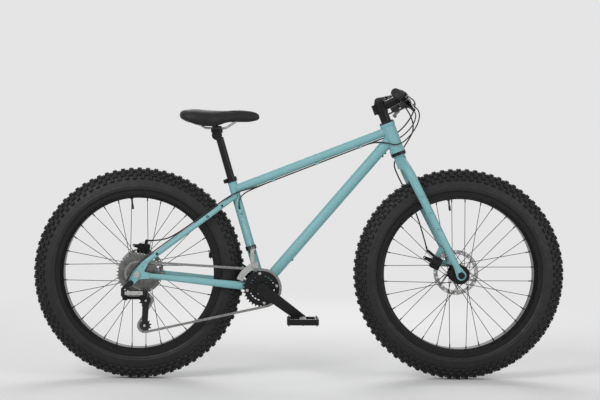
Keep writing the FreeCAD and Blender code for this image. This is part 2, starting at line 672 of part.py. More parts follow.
def housing_line(place, offset):
    """Point at a share of the top tube's length, under it, offset to one side."""
    drop = D.top_tube_od / 2 + GUIDE_HEIGHT / 2
    return top_tube_back + (top_tube_front - top_tube_back) * place + top_tube_under * drop + ACROSS * offset


def cable_guide(name, place):
    """Brazed guide under the top tube with one hole for each housing."""
    spot = frame_at(housing_line(place, 0), top_tube_under, top_tube_axis)
    guide = block(spot, GUIDE_LENGTH, GUIDE_WIDTH, GUIDE_HEIGHT)
    holes = []
    for offset in (-HOUSING_PITCH, 0, HOUSING_PITCH):
        middle = housing_line(place, offset)
        holes.append(cylinder(D.brake_housing_od / 2 + D.free_clearance / 4,
                              middle - top_tube_axis * GUIDE_LENGTH,
                              middle + top_tube_axis * GUIDE_LENGTH))
    tube_mold = cylinder(D.top_tube_od / 2, top_tube_back, top_tube_front)
    return feature(name, guide.cut(holes + [tube_mold]))


STOP_HEIGHT = 277
STOP_LENGTH = 14
STOP_WIDTH = 9
STOP_SIDE = -19.4


def cable_stop_place(along):
    """Point on the front shift cable's line beside the seat tube, at a height from the bottom bracket."""
    return bottom_bracket + seat_rise * along + ACROSS * STOP_SIDE


def cable_stop():
    """Stop brazed to the right of the seat tube, where the housing ends and the bare wire goes on."""
    body = block(frame_at(cable_stop_place(STOP_HEIGHT), seat_rise, AHEAD), STOP_WIDTH, STOP_WIDTH,
                 STOP_LENGTH)
    wire_hole = cylinder(D.inner_wire_od / 2 + D.free_clearance / 4,
                         cable_stop_place(STOP_HEIGHT - STOP_LENGTH),
                         cable_stop_place(STOP_HEIGHT + STOP_LENGTH))
    seat_mold = cylinder(D.seat_tube_od / 2, bottom_bracket, seat_top)
    return feature("cable_stop", body.cut([wire_hole, seat_mold]))


def front_triangle():
    """Head tube, top tube, down tube, seat tube and bottom bracket shell, mitred where they are welded."""
    bore = "dims.head_tube_bore / 2"
    wide = "dims.head_ring_od / 2"
    tall = "dims.head_ring_height"
    length = "dims.head_tube_length"
    head = turned("head_tube", steering, [
        (bore, 0), (wide, 0), (wide, tall), ("dims.head_tube_od / 2", f"{tall} + 2"),
        ("dims.head_tube_od / 2", f"{length} - {tall} - 2"), (wide, f"{length} - {tall}"), (wide, length),
        (bore, length)])
    shell = ring("bottom_bracket_shell", Placement(bottom_bracket, wheel_turn), "dims.shell_bore / 2",
                 "dims.shell_od / 2", "-dims.shell_width / 2", "dims.shell_width / 2")
    head_mold = turned("head_mold", steering, [
        (0, 0), (wide, 0), (wide, tall), ("dims.head_tube_od / 2", f"{tall} + 2"),
        ("dims.head_tube_od / 2", f"{length} - {tall} - 2"), (wide, f"{length} - {tall}"), (wide, length),
        (0, length)])
    half_shell = ACROSS * (D.shell_width / 2)
    shell_mold = rod("shell_mold", "dims.shell_od / 2", bottom_bracket - half_shell,
                     bottom_bracket + half_shell)
    seat_mold = rod("seat_mold", "dims.seat_tube_od / 2", bottom_bracket, seat_top)
    top_mold = rod("top_mold", "dims.top_tube_od / 2", top_tube_back, top_tube_front)
    down_mold = rod("down_mold", "dims.down_tube_od / 2", bottom_bracket, down_tube_front)
    seat_skin = rod("seat_skin", "dims.seat_tube_od / 2", bottom_bracket, seat_top)
    seat_bore = rod("seat_bore", "dims.post_od / 2 + dims.running_clearance", bottom_bracket, seat_top)
    seat = cut("seat_tube", seat_skin, seat_bore, shell_mold, down_mold)
    top = tube("top_tube", "top_tube_od", "top_tube_wall", top_tube_back, top_tube_front, head_mold,
               seat_mold)
    down = tube("down_tube", "down_tube_od", "down_tube_wall", bottom_bracket, down_tube_front,
                head_mold, shell_mold, top_mold)
    guides = [cable_guide(f"cable_guide_{index}", place) for index, place in enumerate(GUIDE_STATIONS)]
    node("front_triangle", head, top, down, seat, shell, cable_stop(), *guides)


def oval(center, heading, width, height):
    """Elliptical wire square to a heading, with its height upright."""
    ellipse = Part.Ellipse(Vector(), height / 2, width / 2)
    wire = Part.Wire(ellipse.toShape())
    upright = ACROSS.cross(heading)
    wire.Placement = frame_at(center, heading, upright)
    return wire


def stay_path(head, foot, root_side, bend, bend_side):
    """Route of a stay from its head at the middle plane, round the tire, to the dropout."""
    along = (foot - head).normalize()
    root = head + ACROSS * root_side
    knee = head + along * bend + ACROSS * bend_side
    tip = foot + ACROSS * math.copysign(dropout_middle, root_side)
    return rounded_path([root, knee, tip], D.stay_bend_radius)[0]


def end_headings(path):
    first = path.OrderedEdges[0]
    last = path.OrderedEdges[-1]
    return first.tangentAt(first.FirstParameter), last.tangentAt(last.LastParameter)


def chainstay_solid(path, inset):
    """Oval stay that grows from the dropout towards the bottom bracket."""
    start, end = end_headings(path)
    points = path.OrderedVertexes
    sections = [oval(points[0].Point, start, D.chainstay_width - 2 * inset, D.chainstay_height - 2 * inset),
                oval(points[-1].Point, end, D.chainstay_width - 2 * inset,
                     D.chainstay_tip_height - 2 * inset)]
    return path.makePipeShell(sections, True, False)


def arm_pin_hole(center, low, high):
    """Clear hole through a brake tab for the pin of the brake arm."""
    return cylinder(D.brake_arm_pin / 2 + D.free_clearance, center + ACROSS * low, center + ACROSS * high)


# Place of the rack eyelet on the way to the seatstay, and size of a brake tab's end, as shares
EYELET_SHARE = 0.62
BRAKE_TAB_SHARE = 0.3


def dropout(side):
    """Dropout plate with its axle hole, rack eyelet and, on one side each, hanger or brake tab."""
    low, high = outward(side, D.rear_spacing / 2, D.rear_spacing / 2 + D.dropout_thickness)
    along = (bottom_bracket - rear_axle).normalize()
    chainstay_foot = along * D.chainstay_foot_ahead
    seatstay_foot = (D.seatstay_foot_ahead, D.seatstay_foot_above)
    arms = [side_plate(rear_axle, (0, 0), D.dropout_radius, (chainstay_foot.x, chainstay_foot.z),
                       D.chainstay_tip_height / 2, low, high),
            side_plate(rear_axle, (0, 0), D.dropout_radius, seatstay_foot, D.seatstay_od / 2, low, high)]
    holes = [cylinder(D.rear_axle_od / 2 + D.running_clearance, rear_axle + ACROSS * low,
                      rear_axle + ACROSS * high)]
    eyelet = rear_axle + Vector(seatstay_foot[0], 0, seatstay_foot[1]) * EYELET_SHARE
    holes.append(cylinder(D.eyelet_hole / 2, eyelet + ACROSS * low, eyelet + ACROSS * high))
    if side == RIGHT:
        hanger = (-D.hanger_behind, -D.hanger_below)
        arms.append(side_plate(rear_axle, (0, 0), D.dropout_radius, hanger, D.hanger_radius, low, high))
        thread = rear_axle + Vector(hanger[0], 0, hanger[1])
        holes.append(cylinder(D.hanger_thread / 2 + D.running_clearance, thread + ACROSS * low,
                              thread + ACROSS * high))
    else:
        tab = caliper_center(rear_axle, D.rear_caliper_angle) - rear_axle
        arms.append(side_plate(rear_axle, seatstay_foot, D.seatstay_od / 2, (tab.x, tab.z),
                               BRAKE_TAB_SHARE * D.caliper_height, low, high))
        holes.append(arm_pin_hole(rear_axle + tab, low, high))
    return joined(*arms).cut(holes)


def rear_triangle():
    """Two chainstays, two seatstays and two dropouts."""
    shell_mold = Part.makeCylinder(D.shell_od / 2, D.shell_width,
                                   bottom_bracket - ACROSS * (D.shell_width / 2), ACROSS)
    seat_mold = cylinder(D.seat_tube_od / 2, bottom_bracket, seat_top)
    along = (bottom_bracket - rear_axle).normalize()
    chainstay_foot = rear_axle + along * D.chainstay_foot_ahead
    seatstay_foot = rear_axle + Vector(D.seatstay_foot_ahead, 0, D.seatstay_foot_above)
    pieces = []
    for side, name in ((RIGHT, "right"), (LEFT, "left")):
        plate = dropout(side)
        chain_path = stay_path(bottom_bracket, chainstay_foot, side * D.chainstay_root, D.chainstay_bend,
                               side * D.chainstay_bend_side)
        seat_path = stay_path(seatstay_head, seatstay_foot, side * D.seatstay_root, D.seatstay_bend,
                              side * D.seatstay_bend_side)
        chain_skin = chainstay_solid(chain_path, 0)
        chain_bore = chainstay_solid(chain_path, D.stay_wall)
        seat_skin = swept(seat_path, D.seatstay_od / 2)
        seat_bore = swept(seat_path, D.seatstay_od / 2 - D.stay_wall)
        pieces.append(feature(f"chainstay_{name}", chain_skin.cut([chain_bore, shell_mold, plate])))
        pieces.append(feature(f"seatstay_{name}", seat_skin.cut([seat_bore, seat_mold, plate])))
        pieces.append(feature(f"dropout_{name}", plate))
    node("rear_triangle", *pieces)


CUP_WALL = 3.5
CUP_THREAD_WALL = 2


def bottom_bracket_cups():
    """Threaded cups either side of the shell, each holding its bearing outside the shell."""
    pieces = []
    for side, name in ((RIGHT, "right"), (LEFT, "left")):
        place = frame_at(bottom_bracket + ACROSS * (side * D.shell_width / 2), ACROSS * side)
        seat = f"dims.cup_flange_od / 2 - {CUP_WALL}"
        thread = "dims.shell_bore / 2"
        bore = f"{thread} - {CUP_THREAD_WALL}"
        pieces.append(turned(f"cup_{name}", place, [
            (bore, "-dims.cup_depth"), (thread, "-dims.cup_depth"), (thread, 0),
            ("dims.cup_flange_od / 2", 0),
            ("dims.cup_flange_od / 2", "dims.cup_flange"), (seat, "dims.cup_flange"),
            (seat, "dims.cup_flange - dims.bearing_height"),
            (bore, "dims.cup_flange - dims.bearing_height")]))
        pieces.append(ring(f"bearing_{name}", place, "dims.spindle_od / 2 + dims.running_clearance", seat,
                           "dims.cup_flange - dims.bearing_height", "dims.cup_flange"))
    node("bottom_bracket_cups", *pieces)


HEADSET_CUP_WALL = 2.2


def headset_cups():
    """Cup and bearing at each end of the head tube; the lower cup stands outside it."""
    bore = "dims.head_tube_bore / 2"
    seat = f"dims.head_tube_bore / 2 - {HEADSET_CUP_WALL}"
    inner = "dims.steerer_od / 2 + dims.running_clearance"
    wide = "dims.cup_od / 2"
    below = "dims.lower_stack - dims.free_clearance"
    lower_place = frame_at(head_bottom, steer_up * -1)
    upper_place = frame_at(head_top, steer_up)
    lower = turned("lower_cup", lower_place, [
        (seat, "-dims.cup_skirt"), (bore, "-dims.cup_skirt"), (bore, 0), (wide, 0), (wide, below),
        (seat, below)])
    lower_bearing = ring("lower_bearing", lower_place, inner, seat, f"{below} - dims.bearing_height", below)
    upper = turned("upper_cup", upper_place, [
        (seat, "-dims.cup_skirt"), (bore, "-dims.cup_skirt"), (bore, 0), (wide, 0), (wide, "dims.cup_lip"),
        (seat, "dims.cup_lip")])
    upper_bearing = ring("upper_bearing", upper_place, inner, seat, "dims.cup_lip - dims.bearing_height",
                         "dims.cup_lip")
    node("headset_cups", lower, lower_bearing, upper, upper_bearing)


COLLAR_SLOT = 3
COLLAR_LUG = 9
COLLAR_BOLT = 5


def seat_collar():
    """Split collar at the top of the seat tube, with its bolt at the rear."""
    place = frame_at(seat_top - seat_rise * D.collar_height, seat_rise, AHEAD)
    bore = D.seat_tube_od / 2
    outer = D.collar_od / 2
    middle = D.collar_height / 2
    band = Part.makeCylinder(outer, D.collar_height)
    lug = block(Placement(Vector(-outer, 0, middle), Rotation()), 2 * COLLAR_LUG, 2 * COLLAR_LUG,
                D.collar_height * 0.9)
    slot = block(Placement(Vector(-outer, 0, middle), Rotation()), 4 * COLLAR_LUG, COLLAR_SLOT,
                 2 * D.collar_height)
    hole_start = Vector(-outer - COLLAR_LUG / 2, -2 * COLLAR_LUG, middle)
    hole_end = Vector(-outer - COLLAR_LUG / 2, 2 * COLLAR_LUG, middle)
    clamp = joined(band, lug).cut([Part.makeCylinder(bore, D.collar_height), slot,
                                   cylinder(COLLAR_BOLT / 2, hole_start, hole_end)])
    reach = Vector(0, COLLAR_LUG + COLLAR_BOLT * 0.8, 0)
    center = (hole_start + hole_end) / 2
    bolt = joined(cylinder(COLLAR_BOLT / 2, center - reach, center + Vector(0, COLLAR_LUG, 0)),
                  cylinder(COLLAR_BOLT * 0.85, center - reach, center - Vector(0, COLLAR_LUG, 0)))
    clamp.Placement = place
    bolt.Placement = place
    node("seat_collar", feature("collar_band", clamp), feature("collar_bolt", bolt))


# Fork

leg_heading = (front_axle - crown).normalize()
LEG_TIP_OUT = 1.5
tip_side = D.front_spacing / 2 + D.fork_tip_thickness / 2 + LEG_TIP_OUT
LEG_BOSSES = 3
LEG_BOSS_RISE = 2
# Overlap of blade and dropout, height of the dropout plate up the leg and size of its upper end, as shares
BLADE_OVERLAP = 0.75
TIP_PLATE_RISE = 2.2
TIP_PLATE_END = 0.4
BRAKE_TAB_RISE = 0.22
# Height of the crown race and of the slope under it
CROWN_RACE = 3
CROWN_SLOPE = 4
STEERER_BELOW_CAP = 3


def leg_point(side, drop):
    """Point on a leg's straight centre line at a distance below the crown."""
    length = (front_axle - crown).Length
    share = (drop - D.leg_knee_drop) / (length - D.leg_knee_drop)
    spread = D.leg_knee_side + (tip_side - D.leg_knee_side) * share
    return crown + leg_heading * drop + ACROSS * (side * spread)


def leg_radius(drop):
    """Outside radius of the tapered leg at a distance below the crown."""
    length = (front_axle - crown).Length
    share = (drop - D.leg_knee_drop) / (length - D.leg_knee_drop)
    return (D.leg_od + (D.leg_tip_od - D.leg_od) * share) / 2


def fork_leg(side):
    """One leg: a bend from the crown, a tapered blade, a dropout with the axle hole, and three bosses."""
    root = crown + leg_heading * D.leg_root_drop + ACROSS * (side * D.leg_root)
    knee = leg_point(side, D.leg_knee_drop)
    length = (front_axle - crown).Length
    blade_end = leg_point(side, length - D.fork_tip_radius * BLADE_OVERLAP)
    path = rounded_path([root, knee, blade_end], D.leg_bend_radius)[0]
    bend_edges = path.OrderedEdges[:2]
    bend_end = bend_edges[1].Vertexes[-1].Point
    if (bend_end - blade_end).Length > (bend_edges[1].Vertexes[0].Point - blade_end).Length:
        bend_end = bend_edges[1].Vertexes[0].Point
    bend = swept(Part.Wire(bend_edges), D.leg_od / 2)
    blade = Part.makeCone(D.leg_od / 2, D.leg_tip_od / 2, (blade_end - bend_end).Length, bend_end,
                          blade_end - bend_end)
    low, high = outward(side, D.front_spacing / 2, D.front_spacing / 2 + D.fork_tip_thickness)
    up_leg = leg_heading * (-TIP_PLATE_RISE * D.fork_tip_radius)
    tip = side_plate(front_axle, (0, 0), D.fork_tip_radius, (up_leg.x, up_leg.z),
                     TIP_PLATE_END * D.leg_tip_od, low, high)
    pieces = [bend, blade, tip]
    holes = [cylinder(D.front_axle_od / 2 + D.running_clearance, front_axle + ACROSS * low,
                      front_axle + ACROSS * high)]
    for index in range(LEG_BOSSES):
        drop = D.leg_boss_first + index * D.leg_boss_pitch
        middle = leg_point(side, drop)
        face = middle + ACROSS * (side * (leg_radius(drop) + LEG_BOSS_RISE))
        pieces.append(cylinder(D.leg_boss_od / 2, middle, face))
        holes.append(cylinder(D.leg_boss_hole / 2, face - ACROSS * (side * D.leg_boss_depth), face))
    if side == LEFT:
        tab = caliper_center(front_axle, D.front_caliper_angle) - front_axle
        start = leg_heading * (-BRAKE_TAB_RISE * length)
        pieces.append(side_plate(front_axle, (start.x, start.z), TIP_PLATE_END * D.leg_tip_od,
                                 (tab.x, tab.z),
                                 BRAKE_TAB_SHARE * D.caliper_height, low, high))
        pieces.append(side_plate(front_axle, (up_leg.x, up_leg.z), TIP_PLATE_END * D.leg_tip_od,
                                 (tab.x, tab.z),
                                 BRAKE_TAB_SHARE * D.caliper_height, low, high))
        holes.append(arm_pin_hole(front_axle + tab, low, high))
    sleeve = cylinder(D.crown_od / 2, crown - steer_up * D.crown_height, crown)
    return joined(*pieces).cut(holes + [sleeve])


def fork():
    """Steerer with its crown sleeve and race, and two legs."""
    stack = "dims.head_cover_height + dims.spacer_count * dims.spacer_height + dims.stem_height"
    top = f"dims.lower_stack + dims.head_tube_length + {stack} - {STEERER_BELOW_CAP}"
    steerer = turned("steerer", frame_at(crown, steer_up, steer_ahead), [
        ("dims.steerer_bore / 2", "-dims.crown_height"), ("dims.crown_od / 2", "-dims.crown_height"),
        ("dims.crown_od / 2", f"-{CROWN_SLOPE}"), ("dims.crown_race_od / 2", f"-{CROWN_RACE}"),
        ("dims.crown_race_od / 2", 0),
        ("dims.steerer_od / 2", 0), ("dims.steerer_od / 2", top), ("dims.steerer_bore / 2", top)])
    node("fork", steerer, feature("leg_right", fork_leg(RIGHT)), feature("leg_left", fork_leg(LEFT)))


# Disc brakes

def caliper_center(axle, angle):
    """Middle of a caliper, over the rotor's band and a little outside it."""
    return wheel_point(axle, D.rotor_od / 2, angle, 0)


def caliper_frame(axle, angle, rotor_side):
    """Placement on the rotor's plane: own X runs round the rotor, own Y outward from the axle."""
    radial = wheel_point(Vector(), 1, angle, 0)
    return frame_at(caliper_center(axle, angle) + ACROSS * rotor_side, ACROSS, ACROSS.cross(radial) * -1)


PAD_LENGTH = 22
PAD_HEIGHT = 12
PAD_THICKNESS = 2.5
PIN_DEPTH = 9
STOP_RADIUS = 5
FRONT_STOP = (-27, 42)
REAR_STOP = (-5, 28)
ARM_EYE = 10
ARM_END = 5
ARM_WIRE_HOLE = 4
# Inboard share of the caliper's width; corner, slot and pad places as shares of its height
CALIPER_INBOARD = 0.42
CALIPER_CORNER = 0.18
SLOT_DROP = 0.3
PAD_DROP = 0.25
fork_tip_far = D.front_spacing / 2 + D.fork_tip_thickness
dropout_far = D.rear_spacing / 2 + D.dropout_thickness


def caliper(label, axle, angle, rotor_side, tab_near, tab_far, arm_angle, stop):
    """Caliper body astride the rotor with its two pads, and the arm on the far side of the frame's tab."""
    place = caliper_frame(axle, angle, rotor_side)
    inboard = -CALIPER_INBOARD * D.caliper_width
    outboard = tab_near - rotor_side
    body = block(Placement(Vector(0, 0, (inboard + outboard) / 2), Rotation()), D.caliper_length,
                 D.caliper_height,
                 outboard - inboard)
    slot = block(Placement(Vector(0, -SLOT_DROP * D.caliper_height, 0), Rotation()), 2 * D.caliper_length,
                 D.caliper_height, D.rotor_slot)
    window = block(Placement(Vector(0, -PAD_DROP * D.caliper_height, 0), Rotation()),
                   PAD_LENGTH + D.free_clearance,
                   PAD_HEIGHT + D.free_clearance, D.rotor_slot + 2 * PAD_THICKNESS)
    pin_hole = Part.makeCylinder(D.brake_arm_pin / 2 + D.running_clearance, PIN_DEPTH,
                                 Vector(0, 0, outboard - PIN_DEPTH))
    body = body.makeFillet(CALIPER_CORNER * D.caliper_height,
                           upright_edges(body)).cut([slot, window, pin_hole])
    arm_low = tab_far - rotor_side + D.free_clearance
    stop_root = (0.7 * stop[0], BRAKE_TAB_SHARE * D.caliper_height)
    stop_arm = capsule(Placement(), stop_root, STOP_RADIUS, stop, STOP_RADIUS, outboard - 2 * STOP_RADIUS,
                       outboard)
    stop_post = Part.makeCylinder(STOP_RADIUS, arm_low + D.brake_arm_thickness - outboard + STOP_RADIUS,
                                  Vector(stop[0], stop[1], outboard - STOP_RADIUS))
    body = joined(body, stop_arm, stop_post)
    pieces = [body]
    for way in (-1, 1):
        offset = way * (D.rotor_slot / 2 + PAD_THICKNESS / 2)
        pieces.append(block(Placement(Vector(0, -PAD_DROP * D.caliper_height, offset), Rotation()),
                            PAD_LENGTH, PAD_HEIGHT,
                            PAD_THICKNESS))
    for piece in pieces:
        piece.Placement = place.multiply(piece.Placement)
    node(label, *[feature(f"{label}_{index}", piece) for index, piece in enumerate(pieces)])
    tip = arm_tip(arm_angle)
    plate = capsule(Placement(), (0, 0), ARM_EYE, tip, ARM_END, arm_low, arm_low + D.brake_arm_thickness)
    pin_low = outboard - PIN_DEPTH + D.free_clearance
    pin = Part.makeCylinder(D.brake_arm_pin / 2, arm_low - pin_low + 1, Vector(0, 0, pin_low))
    wire_hole = Part.makeCylinder(ARM_WIRE_HOLE / 2, 4 * D.brake_arm_thickness,
                                  Vector(tip[0], tip[1], arm_low - D.brake_arm_thickness))
    arm = joined(plate, pin).cut(wire_hole)
    arm.Placement = place
    node(label + "_arm", feature(label + "_lever", arm))


def arm_tip(arm_angle):
    """Cable end of a brake arm, in the caliper's own plane."""
    turn = math.radians(arm_angle)
    return D.brake_arm_length * math.cos(turn), D.brake_arm_length * math.sin(turn)


def stop_face(axle, angle, tab_far, stop, heading):
    """Place on a caliper's cable stop where the housing ends, for the heading the housing comes from."""
    side = tab_far + D.free_clearance + D.brake_arm_thickness / 2
    middle = caliper_frame(axle, angle, side).multVec(Vector(stop[0], stop[1], 0))
    return middle + heading * (STOP_RADIUS + D.free_clearance / 4)


def brakes():
    caliper("front_caliper", front_axle, D.front_caliper_angle, number(FRONT_ROTOR), D.front_spacing / 2,
            fork_tip_far, D.front_arm_angle, FRONT_STOP)
    caliper("rear_caliper", rear_axle, D.rear_caliper_angle, number(REAR_ROTOR), D.rear_spacing / 2,
            dropout_far, D.rear_arm_angle, REAR_STOP)


# Headset stack, stem and handlebar

def headset_spacers():
    """Bearing cover, spacers and top cap on the steerer."""
    place = frame_at(head_top, steer_up)
    bore = "dims.steerer_od / 2"
    outer = "dims.spacer_od / 2"
    low = "dims.cup_lip + dims.free_clearance"
    pieces = [turned("bearing_cover", place, [
        (bore, low), ("dims.cup_od / 2 - 1", low), ("dims.cup_od / 2 - 3", "dims.head_cover_height - 1"),
        (outer, "dims.head_cover_height"), (bore, "dims.head_cover_height")])]
    for index in range(int(D.spacer_count)):
        base = f"dims.head_cover_height + {index} * dims.spacer_height"
        pieces.append(ring(f"spacer_{index + 1}", place, bore, outer, base, f"{base} + dims.spacer_height"))
    cap_low = "dims.head_cover_height + dims.spacer_count * dims.spacer_height + dims.stem_height"
    pieces.append(turned("top_cap", place, [
        (0, cap_low), ("dims.stem_od / 2 - 2", cap_low),
        ("dims.stem_od / 2 - 3", f"{cap_low} + dims.top_cap_height"),
        ("dims.stem_od / 4", f"{cap_low} + dims.top_cap_height"), ("dims.stem_od / 5", f"{cap_low} + 2"),
        (0, f"{cap_low} + 2")]))
    node("headset_spacers", *pieces)


PINCH_SLOT = 2.5


def stem_and_faceplate():
    """Stem clamped to the steerer and its faceplate, which holds the handlebar from the front."""
    stem_top = stem_low + steer_up * D.stem_height
    half_width = ACROSS * (D.bar_clamp_width / 2)
    column = cylinder(D.stem_od / 2, stem_low, stem_top)
    neck = cylinder(D.stem_neck_od / 2, stem_center, bar_center)
    drum = cylinder(D.bar_clamp_od / 2, bar_center - half_width, bar_center + half_width)
    steerer_bore = cylinder(D.steerer_od / 2, stem_low, stem_top)
    bar_bore = cylinder(D.bar_center_od / 2, bar_center - half_width, bar_center + half_width)
    rear = frame_at(stem_center - steer_ahead * (D.stem_od / 2), steer_up, steer_ahead)
    lug = block(rear, 0.5 * D.stem_od, 0.55 * D.stem_od, 0.86 * D.stem_height)
    slot = block(rear, D.stem_od, PINCH_SLOT, 2 * D.stem_height)
    across_clamp = frame_at(bar_center, stem_axis)
    opening = block(across_clamp.multiply(Placement(Vector(0, 0, D.bar_clamp_od / 2 - D.faceplate_gap / 2),
                                                    Rotation())),
                    2 * D.bar_clamp_od, 2 * D.bar_clamp_width, D.bar_clamp_od)
    front = block(across_clamp.multiply(Placement(Vector(0, 0, D.bar_clamp_od / 2 + D.faceplate_gap / 2),
                                                  Rotation())),
                  2 * D.bar_clamp_od, 2 * D.bar_clamp_width, D.bar_clamp_od)
    body = joined(column, neck, drum, lug).cut([steerer_bore, bar_bore, slot, opening])
    node("stem", feature("stem_body", body))
    node("stem_faceplate", feature("faceplate", drum.common(front).cut(bar_bore)))


sweep = math.radians(D.bar_sweep)
bar_arm = (D.bar_width / 2 - D.bar_bend) / math.cos(sweep)


def bar_heading(side):
    """Direction along the swept part of the bar, outward."""
    return Vector(-math.sin(sweep), side * math.cos(sweep), 0)


def bar_end(side):
    return bar_center + ACROSS * (side * D.bar_bend) + bar_heading(side) * bar_arm


def bar_point(side, from_end):
    return bar_end(side) - bar_heading(side) * from_end


def bar_forward(side, angle):
    """Direction square to the swept bar, forward and down by an angle."""
    level = Vector(math.cos(sweep), side * math.sin(sweep), 0)
    return level * math.cos(math.radians(angle)) - UP * math.sin(math.radians(angle))


def handlebar():
    """Swept bar, thicker where the stem clamps it."""
    knees = [bar_center + ACROSS * (side * D.bar_bend) for side in SIDES]
    path = rounded_path([bar_end(RIGHT), knees[0], knees[1], bar_end(LEFT)], D.bar_bend_radius)[0]
    thin = swept(path, D.bar_od / 2)
    half = D.bar_center_width / 2
    middle = cylinder(D.bar_center_od / 2, bar_center - ACROSS * half, bar_center + ACROSS * half)
    tapers = [Part.makeCone(D.bar_center_od / 2, D.bar_od / 2, D.bar_taper_end - half,
                            bar_center + ACROSS * (side * half), ACROSS * side) for side in SIDES]
    node("handlebar", feature("bar", joined(thin, middle, *tapers)))


def grips():
    """Rubber grip on each end of the bar, with a flange at its inner end and a closed outer end."""
    pieces = []
    for side, name in ((RIGHT, "right"), (LEFT, "left")):
        place = frame_at(bar_point(side, D.grip_length), bar_heading(side))
        bore = "dims.bar_od / 2"
        outer = "dims.grip_od / 2"
        length = "dims.grip_length"
        pieces.append(turned(f"grip_{name}", place, [
            (bore, 0), ("dims.grip_flange_od / 2", 0), ("dims.grip_flange_od / 2", "dims.grip_flange"),
            (outer, "dims.grip_flange + 1.5"), (outer, f"{length} + 1"), (f"{outer} - 2", f"{length} + 3"),
            (0, f"{length} + 3"), (0, length), (bore, length)]))
    node("grips", *pieces)


# Brake levers and shifters

BRACKET_CHEEK = 3.2
BRACKET_EYE = 9
LEVER_EYE = 8
LEVER_INBOARD = 6
BARREL_OD = 9
BARREL_LENGTH = 36
BARREL_REACH = 31
BARREL_OUT = 19.3
SOCKET_DEPTH = 8
NOSE_LENGTH = 14
NOSE_AHEAD = 8
# Block between clamp and cheeks: its place, its length and how far it is wider than the clamp
BASE_INBOARD = 2
BASE_OUT = 16
BASE_LENGTH = 14
BASE_EXTRA = 6
# Radii along the lever's blade, and the reach of its hooked end
BLADE_KNEE = 6
BLADE_TIP = 5
BLADE_HOOK = 6.5
HOOK_OUT = 5
HOOK_AHEAD = 4


def lever_frame(side):
    """Own X runs outward along the bar, own Y forward and down towards the lever."""
    forward = bar_forward(side, D.lever_angle)
    outward_axis = bar_heading(side)
    return frame_at(bar_point(side, D.lever_clamp_from_end), outward_axis.cross(forward), outward_axis)


def barrel_exit(side):
    """Inboard end of the cable barrel, straight ahead of the bar, in the lever's own frame."""
    turn = math.radians(D.lever_angle)
    return Vector(-BARREL_REACH, BARREL_OUT * math.cos(turn), -side * BARREL_OUT * math.sin(turn))


def nose_exit(side):
    """Inboard end of the shifter's cable socket, in the shifter's own frame."""
    return Vector(-D.shifter_od / 2 - NOSE_LENGTH, side * NOSE_AHEAD, 0)


def brake_bracket(side, name):
    """Clamp on the bar, with two cheeks and a pin that carry the lever, and a cable barrel."""
    half = D.lever_height / 2 + D.free_clearance / 2
    deep = half + BRACKET_CHEEK
    width = D.lever_clamp_width
    clamp = Part.makeCylinder(D.lever_clamp_od / 2, width, Vector(-width / 2, 0, 0), AHEAD)
    pivot = (-LEVER_INBOARD, D.lever_pivot_out)
    base = block(Placement(Vector(-BASE_INBOARD, BASE_OUT, 0), Rotation()), width + BASE_EXTRA,
                 BASE_LENGTH, 2 * deep)
    cheeks = [capsule(Placement(), (0, BASE_OUT), 1.1 * BRACKET_EYE, pivot, BRACKET_EYE, low,
                      low + BRACKET_CHEEK)
              for low in (half, -deep)]
    pin = Part.makeCylinder(D.lever_pin / 2, 2 * deep, Vector(pivot[0], pivot[1], -deep))
    exit_point = barrel_exit(side)
    barrel = Part.makeCylinder(BARREL_OD / 2, BARREL_LENGTH, exit_point, AHEAD)
    bore = Part.makeCylinder(D.bar_od / 2, 2 * width, Vector(-width, 0, 0), AHEAD)
    socket = Part.makeCylinder(D.brake_housing_od / 2 + D.running_clearance, SOCKET_DEPTH, exit_point,
                               AHEAD)
    shape = joined(clamp, base, *cheeks, pin, barrel).cut([bore, socket])
    shape.Placement = lever_frame(side)
    return feature(f"bracket_{name}", shape)


def brake_lever(side, name):
    """Lever blade that swings towards the grip about the bracket's pin."""
    half = D.lever_height / 2
    pivot = (-LEVER_INBOARD, D.lever_pivot_out)
    knee = (0.24 * D.lever_length, D.lever_pivot_out + 0.55 * (D.lever_reach - D.lever_pivot_out))
    tip = (D.lever_length, D.lever_reach)
    hook = (D.lever_length + HOOK_OUT, D.lever_reach + HOOK_AHEAD)
    pieces = [capsule(Placement(), pivot, LEVER_EYE, knee, BLADE_KNEE, -half, half),
              capsule(Placement(), knee, BLADE_KNEE, tip, BLADE_TIP, -half, half),
              capsule(Placement(), tip, BLADE_TIP, hook, BLADE_HOOK, -half, half)]
    hole = Part.makeCylinder(D.lever_pin / 2 + D.running_clearance, 4 * half,
                             Vector(pivot[0], pivot[1], -2 * half))
    shape = joined(*pieces).cut(hole)
    shape.Placement = lever_frame(side)
    node(f"brake_lever_{name}", feature(f"lever_blade_{name}", shape))


PADDLE_PIN = 8
TRIGGER_REACH = 30
TRIGGER_HEIGHT = 4


def shifter_frame(side):
    """Own Z runs down through the shifter, own X outward along the bar."""
    down = bar_forward(side, D.shifter_angle)
    return frame_at(bar_point(side, D.shifter_clamp_from_end) + down * D.shifter_drop, down,
                    bar_heading(side))


def paddle_layers():
    """Heights under the shifter of the thumb paddle and, below it, the release trigger."""
    paddle_low = D.shifter_height / 2 + D.free_clearance
    paddle_high = paddle_low + D.paddle_height
    trigger_low = paddle_high + D.free_clearance
    return paddle_low, paddle_high, trigger_low, trigger_low + TRIGGER_HEIGHT


